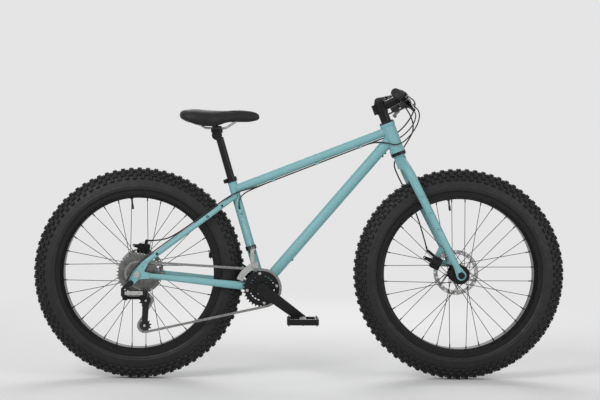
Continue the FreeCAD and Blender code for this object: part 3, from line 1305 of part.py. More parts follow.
def shifter_pod(side, name):
    """Shifter housing under the bar, with its clamp, its lever pin and a cable socket."""
    half = D.shifter_height / 2
    width = D.lever_clamp_width - 2
    pod = Part.makeCylinder(D.shifter_od / 2, D.shifter_height, Vector(0, 0, -half))
    pod = pod.makeFillet(0.25 * D.shifter_height, [pod.Edges[0], pod.Edges[2]])
    clamp = Part.makeCylinder(D.lever_clamp_od / 2, width, Vector(-width / 2, 0, -D.shifter_drop), AHEAD)
    bridge = block(Placement(Vector(0, 0, -D.shifter_drop / 2), Rotation()), width, D.shifter_od / 2,
                   D.shifter_drop - 6)
    pin_end = paddle_layers()[3]
    pin = Part.makeCylinder(PADDLE_PIN / 2, pin_end, Vector())
    exit_point = nose_exit(side)
    nose = Part.makeCylinder(BARREL_OD / 2, -exit_point.x, exit_point, AHEAD)
    bore = Part.makeCylinder(D.bar_od / 2, 2 * width, Vector(-width, 0, -D.shifter_drop), AHEAD)
    socket = Part.makeCylinder(D.shift_housing_od / 2 + D.running_clearance, SOCKET_DEPTH, exit_point,
                               AHEAD)
    shape = joined(pod, clamp, bridge, pin, nose).cut([bore, socket])
    shape.Placement = shifter_frame(side)
    return feature(f"pod_{name}", shape)


def shift_lever(label, side, tip, low, high, width):
    """Flat thumb or finger lever on the shifter's pin."""
    arm = capsule(Placement(), (0, 0), 0.9 * PADDLE_PIN, tip, width / 2, low, high)
    hole = Part.makeCylinder(PADDLE_PIN / 2 + D.running_clearance, 4 * high, Vector(0, 0, -high))
    shape = arm.cut(hole)
    shape.Placement = shifter_frame(side)
    node(label, feature(label + "_blade", shape))


def controls():
    pairs = ((RIGHT, "right"), (LEFT, "left"))
    node("brake_brackets", *[brake_bracket(side, name) for side, name in pairs])
    node("shifter_pods", *[shifter_pod(side, name) for side, name in pairs])
    paddle_low, paddle_high, trigger_low, trigger_high = paddle_layers()
    for side, name in pairs:
        brake_lever(side, name)
        back = -side
        shift_lever(f"shift_paddle_{name}", side, (0.3 * D.paddle_length, back * 0.9 * D.paddle_length),
                    paddle_low, paddle_high, D.paddle_width)
        shift_lever(f"shift_trigger_{name}", side, (-0.5 * TRIGGER_REACH, -back * 0.85 * TRIGGER_REACH),
                    trigger_low, trigger_high, 0.7 * D.paddle_width)


# Seat

TILT_BEHIND = 9
tilt_center = post_top + Vector(-TILT_BEHIND, 0, TILT_BEHIND)
rail_height = tilt_center.z + D.rail_above_tilt
saddle_tail = tilt_center.x - D.saddle_tail_behind
TILT_LIMIT = 12
CLAMP_BOLT = 6
CLAMP_PLATE = 8
CLAMP_HEAD = 5
# Half the gap that stays between the clamp's two halves
CLAMP_GAP = 0.2
# Places of the rails ahead of and above the clamp's middle: nose, front bend, rear bend and tail
RAIL_NOSE = (74, 28)
RAIL_FRONT = 30
RAIL_BACK = -40
RAIL_TAIL = (-66, 16)
RAIL_NOSE_SPREAD = 0.4
RAIL_TAIL_SPREAD = 1.35
RAIL_BEND = 25


def seatpost():
    """Post with a round cradle across its head; a slot lets the clamp bolt swing with the saddle."""
    bottom = post_top - seat_rise * D.post_length
    skin = cylinder(D.post_od / 2, bottom, post_top)
    bore = cylinder(D.post_od / 2 - D.post_wall, bottom, post_top - seat_rise * D.post_od)
    half = ACROSS * (D.cradle_width / 2)
    head = cylinder(D.cradle_od / 2, tilt_center - half, tilt_center + half)
    swing = 2 * (D.cradle_od / 2 * math.tan(math.radians(TILT_LIMIT)) + CLAMP_BOLT / 2 + 1)
    slot = block(Placement(tilt_center, Rotation()), swing, CLAMP_BOLT + 2, 1.1 * D.cradle_od)
    node("seatpost", feature("post_with_head", joined(skin, head).cut([bore, slot])))


def rail_path(side):
    """Saddle rail: socket in the nose, straight run through the clamp, socket in the tail."""
    half = D.rail_spacing / 2
    x = tilt_center.x
    points = [Vector(x + RAIL_NOSE[0], side * RAIL_NOSE_SPREAD * half, rail_height + RAIL_NOSE[1]),
              Vector(x + RAIL_FRONT, side * half, rail_height),
              Vector(x + RAIL_BACK, side * half, rail_height),
              Vector(x + RAIL_TAIL[0], side * RAIL_TAIL_SPREAD * half, rail_height + RAIL_TAIL[1])]
    return rounded_path(points, RAIL_BEND)[0]


def seat_clamp():
    """Lower cradle and upper plate that grip the rails, and the bolt between them."""
    width = D.rail_spacing + 2 * D.rail_od
    top = rail_height - tilt_center.z
    rails = [cylinder(D.rail_od / 2, Vector(tilt_center.x - D.clamp_length, side * D.rail_spacing / 2,
                                            rail_height),
                      Vector(tilt_center.x + D.clamp_length, side * D.rail_spacing / 2,
                             rail_height)) for side in SIDES]
    low = 0.5 * D.cradle_od / 2
    lower = block(Placement(tilt_center + UP * ((low + top) / 2 - CLAMP_GAP), Rotation()),
                  D.clamp_length, width, top - low - 2 * CLAMP_GAP)
    upper = block(Placement(tilt_center + UP * (top + CLAMP_PLATE / 2 + CLAMP_GAP), Rotation()),
                  0.8 * D.clamp_length, width, CLAMP_PLATE)
    half = ACROSS * width
    cradle = cylinder(D.cradle_od / 2 + D.free_clearance / 2, tilt_center - half, tilt_center + half)
    bolt_low = tilt_center - UP * (0.35 * D.cradle_od)
    bolt_high = tilt_center + UP * (top + CLAMP_PLATE + CLAMP_HEAD)
    hole = cylinder(CLAMP_BOLT / 2, bolt_low, bolt_high)
    bolt = joined(hole, cylinder(0.8 * CLAMP_BOLT, tilt_center + UP * (top + CLAMP_PLATE + CLAMP_GAP),
                                 bolt_high))
    node("seat_clamp", feature("clamp_lower", lower.cut(rails + [cradle, hole])),
         feature("clamp_upper", upper.cut(rails + [hole])), feature("clamp_bolt", bolt))


# Height of the widest line of a saddle section, and width of its base, as shares
SADDLE_WAIST = 0.42
SADDLE_FOOT = 0.72


def saddle_section(share, half, top, bottom):
    """Closed saddle section at a share of the length: crowned top, drawn-in sides, flat base."""
    x = saddle_tail + share * D.saddle_length
    side = half * D.saddle_width / 2
    high = tilt_center.z + D.rail_above_tilt + top * D.saddle_height
    low = tilt_center.z + D.rail_above_tilt + bottom * D.saddle_height
    waist = low + SADDLE_WAIST * (high - low)
    right, left = Vector(x, -side, waist), Vector(x, side, waist)
    foot_right, foot_left = Vector(x, -SADDLE_FOOT * side, low), Vector(x, SADDLE_FOOT * side, low)
    return Part.Wire([
        Part.Arc(right, Vector(x, 0, high), left).toShape(), Part.LineSegment(left, foot_left).toShape(),
        Part.LineSegment(foot_left, foot_right).toShape(), Part.LineSegment(foot_right, right).toShape()])


# Share of the length from the tail, then half width, crown and base as shares of width and height
SADDLE_FORM = (
    (0.00, 0.52, 0.86, 0.52), (0.07, 0.86, 0.98, 0.33), (0.22, 1.00, 1.00, 0.25), (0.40, 0.84, 0.95, 0.22),
    (0.58, 0.50, 0.92, 0.27), (0.77, 0.31, 0.94, 0.34), (0.93, 0.24, 0.89, 0.40), (1.00, 0.12, 0.72, 0.50))


def saddle():
    """Padded saddle on its two rails."""
    rails = [swept(rail_path(side), D.rail_od / 2) for side in SIDES]
    cover = Part.makeLoft([saddle_section(*form) for form in SADDLE_FORM], True)
    node("saddle", feature("saddle_cover", cover.cut(rails)))
    node("saddle_rails", feature("rail_right", rails[0]), feature("rail_left", rails[1]))


# Chain drive

FORWARD = -1
REVERSE = 1
cage_pivot = rear_axle + Vector(D.cage_pivot_ahead, 0, -D.cage_pivot_below)
CAGE_SEARCH = 25


def pitch_radius(teeth):
    return D.chain_pitch / (2 * math.sin(math.pi / teeth))


def cage_points(turn):
    """Centres of the guide and tension pulleys when the cage is turned back by an angle in degrees."""
    down = Vector(-math.sin(math.radians(turn)), 0, -math.cos(math.radians(turn)))
    return cage_pivot + down * D.guide_drop, cage_pivot + down * (D.guide_drop + D.cage_length)


def chain_course(turn):
    """Arcs and straights of the chain in its running order, for a cage angle."""
    guide, tension = cage_points(turn)
    wheels_in_order = [
        ("ring", bottom_bracket, D.ring_teeth, FORWARD), ("tension", tension, D.pulley_teeth, FORWARD),
        ("guide", guide, D.pulley_teeth, REVERSE), ("cog", rear_axle, CASSETTE_TEETH[DRIVE_COG], FORWARD)]
    count = len(wheels_in_order)
    leave = []
    enter = [None] * count
    for index, (name, center, teeth, way) in enumerate(wheels_in_order):
        after = (index + 1) % count
        next_name, next_center, next_teeth, next_way = wheels_in_order[after]
        run = next_center - center
        grow = next_way * pitch_radius(next_teeth) - way * pitch_radius(teeth)
        heading = math.atan2(run.z, run.x) + math.asin(-grow / run.Length)
        normal = Vector(math.sin(heading), 0, -math.cos(heading))
        leave.append(center + normal * (way * pitch_radius(teeth)))
        enter[after] = next_center + normal * (next_way * pitch_radius(next_teeth))
    course = []
    for index, (name, center, teeth, way) in enumerate(wheels_in_order):
        start = math.atan2(enter[index].z - center.z, enter[index].x - center.x)
        end = math.atan2(leave[index].z - center.z, leave[index].x - center.x)
        swing = (way * (end - start)) % (2 * math.pi)
        course.append((name, swing * teeth / (2 * math.pi) * D.chain_pitch, (center, teeth, way, start)))
        course.append(("straight", (enter[(index + 1) % count] - leave[index]).Length,
                       (leave[index], enter[(index + 1) % count])))
    return course


def course_length(turn):
    return sum(length for name, length, data in chain_course(turn))


def fitted_cage_turn():
    """Cage angle that takes up the slack of a chain with a whole, even number of links."""
    links = 2 * round(course_length(0) / D.chain_pitch / 2)
    low, high = -CAGE_SEARCH, CAGE_SEARCH
    rising = course_length(high) > course_length(low)
    for step in range(60):
        middle = (low + high) / 2
        if (course_length(middle) < links * D.chain_pitch) == rising:
            low = middle
        else:
            high = middle
    return links, (low + high) / 2


chain_links, cage_turn = fitted_cage_turn()
guide_center, tension_center = cage_points(cage_turn)


def chain_joints():
    """Pin centres along the chain, and the direction of one tooth gap on each toothed wheel."""
    places = []
    gaps = {}
    course = chain_course(cage_turn)
    for link in range(chain_links):
        along = link * D.chain_pitch
        for name, length, data in course:
            if along < length:
                break
            along -= length
        if name == "straight":
            start, end = data
            places.append(start + (end - start) * (along / length))
        else:
            center, teeth, way, start = data
            angle = start + way * along / D.chain_pitch * 2 * math.pi / teeth
            gaps.setdefault(name, angle)
            places.append(center + Vector(math.cos(angle), 0, math.sin(angle)) * pitch_radius(teeth))
    return places, gaps


joint_places, tooth_gaps = chain_joints()
GULLET_SPAN = 62
TOOTH_RISE = 2.7
TOOTH_TIP = 0.8


def sprocket(teeth, gap_angle, center, bore_radius, thickness):
    """Toothed wheel in a fore-and-aft plane, with one tooth gap at a given angle."""
    teeth = int(teeth)
    radius = pitch_radius(teeth)
    seat = D.roller_od / 2 + D.free_clearance / 2
    span = math.radians(GULLET_SPAN)
    edges = []
    corners = []
    for tooth in range(teeth):
        angle = gap_angle + 2 * math.pi * tooth / teeth
        out = Vector(math.cos(angle), 0, math.sin(angle))
        along = Vector(-math.sin(angle), 0, math.cos(angle))
        middle = out * radius
        start = middle - out * (seat * math.cos(span)) - along * (seat * math.sin(span))
        end = middle - out * (seat * math.cos(span)) + along * (seat * math.sin(span))
        tip_angle = angle + math.pi / teeth
        tip_out = Vector(math.cos(tip_angle), 0, math.sin(tip_angle))
        tip_along = Vector(-math.sin(tip_angle), 0, math.cos(tip_angle))
        tip = tip_out * (radius + TOOTH_RISE)
        corners.append((start, middle - out * seat, end, tip - tip_along * TOOTH_TIP,
                        tip + tip_along * TOOTH_TIP))
    for tooth, (start, floor, end, tip_first, tip_last) in enumerate(corners):
        following = corners[(tooth + 1) % teeth][0]
        edges.append(Part.Arc(start, floor, end).toShape())
        for first, last in ((end, tip_first), (tip_first, tip_last), (tip_last, following)):
            edges.append(Part.LineSegment(first, last).toShape())
    bore = Part.Wire(Part.Circle(Vector(), ACROSS, bore_radius).toShape())
    face = Part.Face([Part.Wire(edges), bore], "Part::FaceMakerBullseye")
    solid = face.extrude(ACROSS * thickness)
    solid.translate(center - ACROSS * (thickness / 2))
    return solid


def chain():
    """Roller chain: separate inner links with rollers and outer links with pins."""
    half = D.inner_gap / 2
    outer_low = half + D.link_plate + D.free_clearance / 5
    outer_high = outer_low + D.link_plate
    pitch = D.chain_pitch
    ends = ((0, 0), (pitch, 0))
    waist = D.link_height / 2

    def plates(near, far):
        return [capsule(Placement(), *ends[:1], waist, ends[1], waist, low, high) for low, high in
                ((near, far), (-far, -near))]

    def pins(radius, reach):
        return [Part.makeCylinder(radius, 2 * reach, Vector(x, y, -reach)) for x, y in ends]

    inner = joined(*plates(half, half + D.link_plate), *pins(D.roller_od / 2, half))
    inner = inner.cut(pins(D.pin_od / 2 + D.running_clearance, pitch))
    outer = joined(*plates(outer_low, outer_high), *pins(D.pin_od / 2, outer_high))
    links = []
    line = ACROSS * -D.chain_line
    for index, start in enumerate(joint_places):
        end = joint_places[(index + 1) % chain_links]
        link = (outer if index % 2 else inner).copy()
        link.Placement = frame_at(start + line, ACROSS, end - start)
        links.append(link)
    print(f"chain: {chain_links} links, cage turned {cage_turn:.2f} degrees")
    node("chain", feature("chain_links", Part.makeCompound(links)))


COG_SPACER_WALL = 3.5


def cassette():
    """Nine cogs with spacers on the freehub body, which turns on the axle by its own bearings."""
    place = Placement(rear_axle, wheel_turn)
    outer = "dims.freehub_od / 2"
    seat = "dims.wheel_bearing_od / 2"
    inner = "dims.rear_axle_od / 2 + dims.running_clearance"
    pieces = [ring("freehub_body", place, seat, outer, FREEHUB_END, FREEHUB_START)]
    for name, low in (("freehub_bearing_outer", FREEHUB_END), ("freehub_bearing_inner",
                                                               f"({FREEHUB_START} - dims.bearing_height)")):
        pieces.append(ring(name, place, inner, seat, low, f"{low} + dims.bearing_height"))
    cogs = []
    for index, teeth in enumerate(CASSETTE_TEETH):
        side = -D.chain_line - (index - DRIVE_COG) * D.cog_pitch
        gap = tooth_gaps["cog"] if index == DRIVE_COG else math.pi / 2
        cogs.append(sprocket(teeth, gap, rear_axle + ACROSS * side, D.freehub_od / 2, D.tooth_thickness))
        if index:
            start = rear_axle + ACROSS * (side + D.tooth_thickness / 2)
            end = rear_axle + ACROSS * (side + D.cog_pitch - D.tooth_thickness / 2)
            cogs.append(cylinder(D.freehub_od / 2 + COG_SPACER_WALL, start,
                                 end).cut(cylinder(D.freehub_od / 2, start, end)))
    pieces.append(feature("cogs", Part.makeCompound(cogs)))
    node("cassette", *pieces)


crank_heading = Vector(math.cos(math.radians(D.crank_angle)), 0, -math.sin(math.radians(D.crank_angle)))
crank_outer = D.crank_inner_face + D.crank_thickness
cup_face = D.shell_width / 2 + D.cup_flange
RING_BOLTS = 4
SPIDER_TAB = 8
SMALL_RING_TAB = 6.5
RING_BOLT = 8
RING_BOLT_HEAD = 1.5
CRANK_STEP = 2
spider_far = D.chain_line - D.tooth_thickness / 2
spider_near = D.chain_line - D.ring_offset + D.tooth_thickness / 2


def pedal_place(side):
    """Pedal axis where it meets the middle plane."""
    return bottom_bracket + crank_heading * (-side * D.crank_length)


def ring_bolt_places(circle):
    """Bolt centres on a chainring's bolt circle, between the spider's arms and the crank."""
    heading = math.atan2(crank_heading.z, crank_heading.x)
    for bolt in range(RING_BOLTS):
        angle = heading + math.pi / 4 + bolt * math.pi / 2
        yield bottom_bracket + Vector(math.cos(angle), 0, math.sin(angle)) * (circle / 2)


def crank_arm(side, name):
    """Crank arm with its hub and pedal axle; the right arm carries spindle and spider."""
    low, high = outward(side, D.crank_inner_face, crank_outer)
    eye = pedal_place(side) - bottom_bracket
    arm = side_plate(bottom_bracket, (0, 0), D.crank_hub_od / 2, (eye.x, eye.z), D.crank_eye_od / 2, low,
                     high)
    hub_start = bottom_bracket + ACROSS * (side * (cup_face + D.free_clearance))
    hub_end = bottom_bracket + ACROSS * (side * D.crank_inner_face)
    body = joined(arm, cylinder(D.crank_hub_od / 2 - CRANK_STEP, hub_start, hub_end))
    axle_start = pedal_place(side) + ACROSS * (side * D.crank_inner_face)
    axle_end = pedal_place(side) + ACROSS * (side * (crank_outer + D.pedal_gap + D.pedal_width))
    pedal_axle = cylinder(D.pedal_axle_od / 2, axle_start, axle_end)
    spindle = cylinder(D.spindle_od / 2, bottom_bracket - ACROSS * crank_outer,
                       bottom_bracket + ACROSS * (crank_outer - CRANK_STEP))
    if side == RIGHT:
        arms = []
        bolts = []
        for spot in ring_bolt_places(D.ring_bolt_circle):
            reach = spot - bottom_bracket
            arms.append(side_plate(bottom_bracket, (0, 0), D.crank_hub_od / 2, (reach.x, reach.z),
                                   SPIDER_TAB,
                                   -spider_far, -spider_near))
            bolts.append(cylinder(RING_BOLT / 2, spot - ACROSS * spider_far, spot - ACROSS * spider_near))
        body = joined(body, spindle, *arms).cut(bolts + [pedal_axle])
    else:
        body = body.cut([spindle, pedal_axle])
    node(f"crank_arm_{name}", feature(f"crank_{name}", body), feature(f"pedal_axle_{name}", pedal_axle))


def chainrings():
    """Large ring outside the spider, small ring inside it, and the bolts of each."""
    large_center = bottom_bracket - ACROSS * D.chain_line
    small_center = bottom_bracket - ACROSS * (D.chain_line - D.ring_offset)
    inner = D.ring_bolt_circle / 2 - SPIDER_TAB
    large = sprocket(D.ring_teeth, tooth_gaps["ring"], large_center, inner, D.tooth_thickness)
    small = sprocket(D.small_ring_teeth, math.pi / 2, small_center,
                     D.small_ring_bolt_circle / 2 - SMALL_RING_TAB,
                     D.tooth_thickness)
    low = D.chain_line - D.ring_offset + D.tooth_thickness / 2
    high = D.chain_line + D.tooth_thickness / 2
    bolts = []
    for spot in ring_bolt_places(D.ring_bolt_circle):
        shank = cylinder(RING_BOLT / 2, spot - ACROSS * (high + RING_BOLT_HEAD), spot - ACROSS * low)
        head = cylinder(0.72 * RING_BOLT, spot - ACROSS * (high + RING_BOLT_HEAD), spot - ACROSS * high)
        large = large.cut(shank)
        bolts.append(joined(shank, head))
    node("chainrings", feature("large_ring", large), feature("small_ring", small),
         feature("ring_bolts", Part.makeCompound(bolts)))


PEDAL_RIM = 13
PEDAL_TUBE = 22
PEDAL_PINS = 4
PIN_ROW_SHARE = 0.8


def pedal(side, name):
    """Platform pedal: a frame with two windows round the axle tube, and grip pins top and bottom."""
    near = crank_outer + D.pedal_gap
    middle = pedal_place(side) + ACROSS * (side * (near + D.pedal_width / 2))
    flat = Placement(middle, Rotation())
    plate = block(flat, D.pedal_length, D.pedal_width, D.pedal_thickness)
    plate = plate.makeFillet(D.pedal_corner, upright_edges(plate))
    window_length = (D.pedal_length - PEDAL_TUBE) / 2 - PEDAL_RIM
    offset = PEDAL_TUBE / 2 + window_length / 2
    windows = [block(Placement(middle + AHEAD * (way * offset), Rotation()), window_length,
                     D.pedal_width - 2 * PEDAL_RIM, 2 * D.pedal_thickness) for way in (-1, 1)]
    ends = ACROSS * (D.pedal_width / 2)
    tube_body = cylinder(PEDAL_TUBE / 2, middle - ends, middle + ends)
    bore = cylinder(D.pedal_axle_od / 2 + D.running_clearance, middle - ends * 1.1, middle + ends * 1.1)
    pins = []
    for way in (-1, 1):
        for pin in range(PEDAL_PINS):
            spot = middle + AHEAD * (way * (D.pedal_length - PEDAL_RIM) / 2)
            spot += ACROSS * (D.pedal_width * (pin / (PEDAL_PINS - 1) - 0.5) * PIN_ROW_SHARE)
            reach = UP * (D.pedal_thickness / 2 + D.pedal_pin_height)
            pins.append(cylinder(D.pedal_pin_od / 2, spot - reach, spot + reach))
    shape = joined(plate.cut(windows), tube_body, *pins).cut(bore)
    node(f"pedal_{name}", feature(f"platform_{name}", shape))


# Derailleurs

slant = math.radians(D.link_slant)
link_axis = Vector(0, math.sin(slant), math.cos(slant))
knuckle_center = rear_axle + Vector(-D.knuckle_behind, -D.knuckle_side, -D.knuckle_below)
link_frame = frame_at(knuckle_center, link_axis, AHEAD)
LUG = 3
LUG_RADIUS = 7
LUG_WALL = 4.5
hanger_face = D.rear_spacing / 2 + D.dropout_thickness
EYE_HEIGHT = 13
KNUCKLE_ARM = 5
KNUCKLE_RISE = 22
LUG_ROOM = 1.6
# Lower knuckle: outer end of the cage boss, and the bridge from it to the lugs
BOSS_INBOARD = 20
BOSS_WALL = 2
BRIDGE_OUT = 8
BRIDGE_WIDTH = 14
BRIDGE_EXTRA = 4
CAGE_GUIDE_END = 11
CAGE_TENSION_END = 10


def lug_pair(at, wall_way):
    """Two lugs with the link pins between them and a wall behind, about one end of the links."""
    half = D.link_depth / 2 + D.free_clearance / 2
    deep = half + LUG
    reach = D.link_spacing / 2
    plates = [capsule(Placement(), (at, -reach), LUG_RADIUS, (at, reach), LUG_RADIUS, low, low + LUG)
              for low in (half, -deep)]
    pins = [Part.makeCylinder(D.link_pin_od / 2, 2 * deep, Vector(at, way * reach, -deep)) for way in (-1,
                                                                                                       1)]
    wall_at = at + wall_way * (D.link_width / 2 + LUG_ROOM + LUG_WALL / 2)
    wall = block(Placement(Vector(wall_at, 0, 0), Rotation()), LUG_WALL, 2 * reach + 1.4 * LUG_RADIUS,
                 2 * deep)
    pieces = plates + pins + [wall]
    for piece in pieces:
        piece.Placement = link_frame.multiply(piece.Placement)
    return pieces, wall_at


def derailleur_links():
    """Outer and inner link of the parallelogram."""
    half = D.link_depth / 2
    for label, way in (("derailleur_outer_link", -1), ("derailleur_inner_link", 1)):
        offset = way * D.link_spacing / 2
        ends = ((0, offset), (D.link_length, offset))
        bar = capsule(Placement(), ends[0], D.link_width / 2, ends[1], D.link_width / 2, -half, half)
        holes = [Part.makeCylinder(D.link_pin_od / 2 + D.running_clearance, 4 * half,
                                   Vector(x, y, -2 * half)) for x, y in ends]
        shape = bar.cut(holes)
        shape.Placement = link_frame
        node(label, feature(label + "_bar", shape))


def derailleur_knuckle():
    """Knuckle bolted to the hanger, with the rear pivots of the links."""
    pieces, wall_at = lug_pair(0, -1)
    eye = rear_axle + Vector(-D.hanger_behind, 0, -D.hanger_below)
    foot = link_frame.multVec(Vector(wall_at - KNUCKLE_ARM / 2, 0, 0)) - rear_axle
    elbow = (foot.x, foot.z + KNUCKLE_RISE)
    low, high = -hanger_face - EYE_HEIGHT, -hanger_face - 1
    arm = side_plate(rear_axle, (-D.hanger_behind, -D.hanger_below), D.hanger_radius - 1, elbow,
                     KNUCKLE_ARM, low, high)
    leg = side_plate(rear_axle, elbow, KNUCKLE_ARM, (foot.x, foot.z), KNUCKLE_ARM, low, high)
    seat = cylinder(D.hanger_radius - 1, eye - ACROSS * hanger_face,
                    eye - ACROSS * (hanger_face + EYE_HEIGHT))
    bolt = cylinder(D.hanger_thread / 2, eye - ACROSS * (D.rear_spacing / 2), eye - ACROSS * hanger_face)
    node("derailleur_knuckle", feature("knuckle", joined(arm, leg, seat, bolt, *pieces)))


def derailleur_body():
    """Lower knuckle with the front pivots of the links and the pivot of the cage."""
    pieces, wall_at = lug_pair(D.link_length, 1)
    wall_spot = link_frame.multVec(Vector(wall_at, 0, 0))
    cage_face = D.chain_line + D.cage_gap / 2 + D.cage_plate + D.free_clearance
    boss_far = knuckle_center.y + BOSS_INBOARD
    middle = cage_pivot - ACROSS * cage_face
    boss = cylinder(D.cage_pivot_od + BOSS_WALL, middle, Vector(cage_pivot.x, boss_far, cage_pivot.z))
    pin = cylinder(D.cage_pivot_od / 2, middle, cage_pivot - ACROSS * (D.chain_line + D.cage_gap / 2))
    bridge_low = Vector(wall_spot.x - LUG_WALL / 2, knuckle_center.y - BRIDGE_OUT,
                        cage_pivot.z - D.cage_pivot_od)
    bridge = Part.makeBox(D.cage_pivot_od + BRIDGE_EXTRA, boss_far - knuckle_center.y + BRIDGE_WIDTH,
                          2 * D.cage_pivot_od, bridge_low)
    node("derailleur_body", feature("lower_knuckle", joined(boss, pin, bridge, *pieces)))


def derailleur_cage():
    """Two cage plates with the pulley bolts between them, on the lower knuckle's pin."""
    half = D.cage_gap / 2
    guide = guide_center - cage_pivot
    tension = tension_center - cage_pivot
    outer = (-D.chain_line - half - D.cage_plate, -D.chain_line - half)
    inner = (-D.chain_line + half, -D.chain_line + half + D.cage_plate)
    plates = [side_plate(cage_pivot, (guide.x, guide.z), CAGE_GUIDE_END, (tension.x, tension.z),
                         CAGE_TENSION_END, *layer) for layer in (outer, inner)]
    plates.append(side_plate(cage_pivot, (0, 0), D.cage_pivot_od, (guide.x, guide.z), CAGE_GUIDE_END,
                             *outer))
    bolts = [cylinder(D.pulley_bolt_od / 2, center + ACROSS * outer[0], center + ACROSS * inner[1])
             for center in (guide_center, tension_center)]
    hole = cylinder(D.cage_pivot_od / 2 + D.running_clearance, cage_pivot + ACROSS * outer[0],
                    cage_pivot + ACROSS * outer[1])
    near_plate = joined(plates[0], plates[2]).cut(hole)
    node("derailleur_cage", feature("cage", joined(near_plate, plates[1], *bolts)))


def pulleys():
    """Guide and tension pulleys on the cage's bolts."""
    for label, center, name in (("guide_pulley", guide_center, "guide"),
                                ("tension_pulley", tension_center, "tension")):
        wheel = sprocket(D.pulley_teeth, tooth_gaps[name], center - ACROSS * D.chain_line,
                         D.pulley_bolt_od / 2 + D.running_clearance, D.tooth_thickness)
        side = -D.chain_line
        half = D.cage_gap / 2 - D.free_clearance
        hub_ring = cylinder(D.pulley_bolt_od, center + ACROSS * (side - half),
                            center + ACROSS * (side + half))
        bore = cylinder(D.pulley_bolt_od / 2 + D.running_clearance, center + ACROSS * (side - half),
                        center + ACROSS * (side + half))
        node(label, feature(label + "_wheel", joined(wheel, hub_ring).cut(bore)))


FD_START = 100
FD_END = 160
FD_BRIDGE_END = 117
FD_TAIL = 4
FD_PIVOT_AHEAD = -34
FD_PIVOT_ABOVE = 126
FD_PIVOT_SIDE = 60
FD_PIN = 5
FD_ARM = 8
FD_ARM_WIDTH = 14
FD_ARM_END = 4
FD_CHEEK = 3.5
FD_CHEEK_LENGTH = 22
FD_CHEEK_INBOARD = 5
FD_BEAM_END = 9
fd_pivot = bottom_bracket + Vector(FD_PIVOT_AHEAD, -FD_PIVOT_SIDE, FD_PIVOT_ABOVE)


def ring_sector(near_radius, far_radius, start, end, low, high):
    """Part of a flat ring about the bottom bracket, between two angles and two sides."""
    def at(radius, angle):
        return wheel_point(bottom_bracket, radius, angle, low)

    middle = (start + end) / 2
    edges = [Part.Arc(at(far_radius, start), at(far_radius, middle), at(far_radius, end)).toShape(),
             Part.LineSegment(at(far_radius, end), at(near_radius, end)).toShape(),
             Part.Arc(at(near_radius, end), at(near_radius, middle), at(near_radius, start)).toShape(),
             Part.LineSegment(at(near_radius, start), at(far_radius, start)).toShape()]
    return Part.Face(Part.Wire(edges)).extrude(ACROSS * (high - low))


def front_derailleur():
    """Band on the seat tube with an arm and a pin, and the cage that swings on the pin."""
    band_place = frame_at(bottom_bracket + seat_rise * D.clamp_band_height, seat_rise, AHEAD)
    half = D.clamp_band_width / 2
    band = Part.makeCylinder(D.clamp_band_od / 2, 2 * half, Vector(0, 0, -half))
    band.Placement = band_place
    seat = cylinder(D.seat_tube_od / 2, bottom_bracket, seat_top)
    side = band_place.Base + ACROSS * -(D.seat_tube_od / 2)
    cheek_gap = FD_ARM_WIDTH + D.free_clearance
    cheek = FD_CHEEK
    reach = fd_pivot + ACROSS * FD_BEAM_END
    beam_run = reach - side
    beam = block(frame_at((side + reach) / 2, beam_run, AHEAD), cheek_gap + 2 * cheek, FD_ARM_WIDTH,
                 beam_run.Length)
    cheeks = []
    for way in (-1, 1):
        offset = AHEAD * (way * (cheek_gap + cheek) / 2)
        cheeks.append(block(Placement(fd_pivot + offset + ACROSS * FD_CHEEK_INBOARD, Rotation()), cheek,
                            FD_CHEEK_LENGTH, FD_ARM_WIDTH))
    pin_reach = AHEAD * (cheek_gap / 2 + cheek)
    pin = cylinder(FD_PIN / 2, fd_pivot - pin_reach, fd_pivot + pin_reach)
    sweep_room = block(Placement(fd_pivot, Rotation()), cheek_gap, 2 * FD_ARM + 2, 2 * FD_ARM + 8)
    mount = joined(band, beam, *cheeks).cut([seat, sweep_room]).fuse(pin).removeSplitter()
    node("front_derailleur_mount", feature("band_and_arm", mount))
    inside = D.fd_inner_radius
    outside = inside + D.fd_depth
    gap = D.fd_gap / 2
    outer = (-D.chain_line - gap - D.fd_plate, -D.chain_line - gap)
    inner = (-D.chain_line + gap, -D.chain_line + gap + D.fd_plate)
    plates = [ring_sector(inside, outside, FD_START, FD_END, *layer) for layer in (outer, inner)]
    top = ring_sector(outside - D.fd_plate, outside, FD_START, FD_BRIDGE_END, outer[0], inner[1])
    tail = ring_sector(inside + 0.5 * D.fd_depth, outside, FD_END - FD_TAIL / 2, FD_END, outer[0], inner[1])
    hang = fd_pivot - Vector(0, 0, FD_PIVOT_ABOVE - outside + 6)
    arm = capsule(frame_at(fd_pivot - AHEAD * (FD_ARM_WIDTH / 2), AHEAD, ACROSS), (0, 0), FD_ARM,
                  (hang.y - fd_pivot.y - 3, hang.z - fd_pivot.z), FD_ARM_END, 0, FD_ARM_WIDTH)
    keep_out = cylinder(outside - D.fd_plate, bottom_bracket - ACROSS * (D.chain_line + gap),
                        bottom_bracket - ACROSS * (D.chain_line - gap))
    hole = cylinder(FD_PIN / 2 + D.running_clearance, fd_pivot - pin_reach, fd_pivot + pin_reach)
    cage = joined(*plates, top, tail, arm.cut(keep_out)).cut(hole)
    node("front_derailleur_cage", feature("shift_cage", cage))


# Cable housings

HOUSING_START = 0.83
HOUSING_TUCK = 0.9
HOUSING_LEAVE = 0.12
stay_foot = rear_axle + Vector(D.seatstay_foot_ahead, 0, D.seatstay_foot_above)
stay_along = (stay_foot - seatstay_head).normalize()
stay_above = ACROSS.cross(stay_along)
STAY_RISE = 13
# Where the rear housings pass the seat tube, ahead of, beside and above the seatstays' head
SEAT_TUBE_PASS = (6, 25.5, 14)
SHOULDER_ALONG = 42
SHOULDER_SIDE = 37
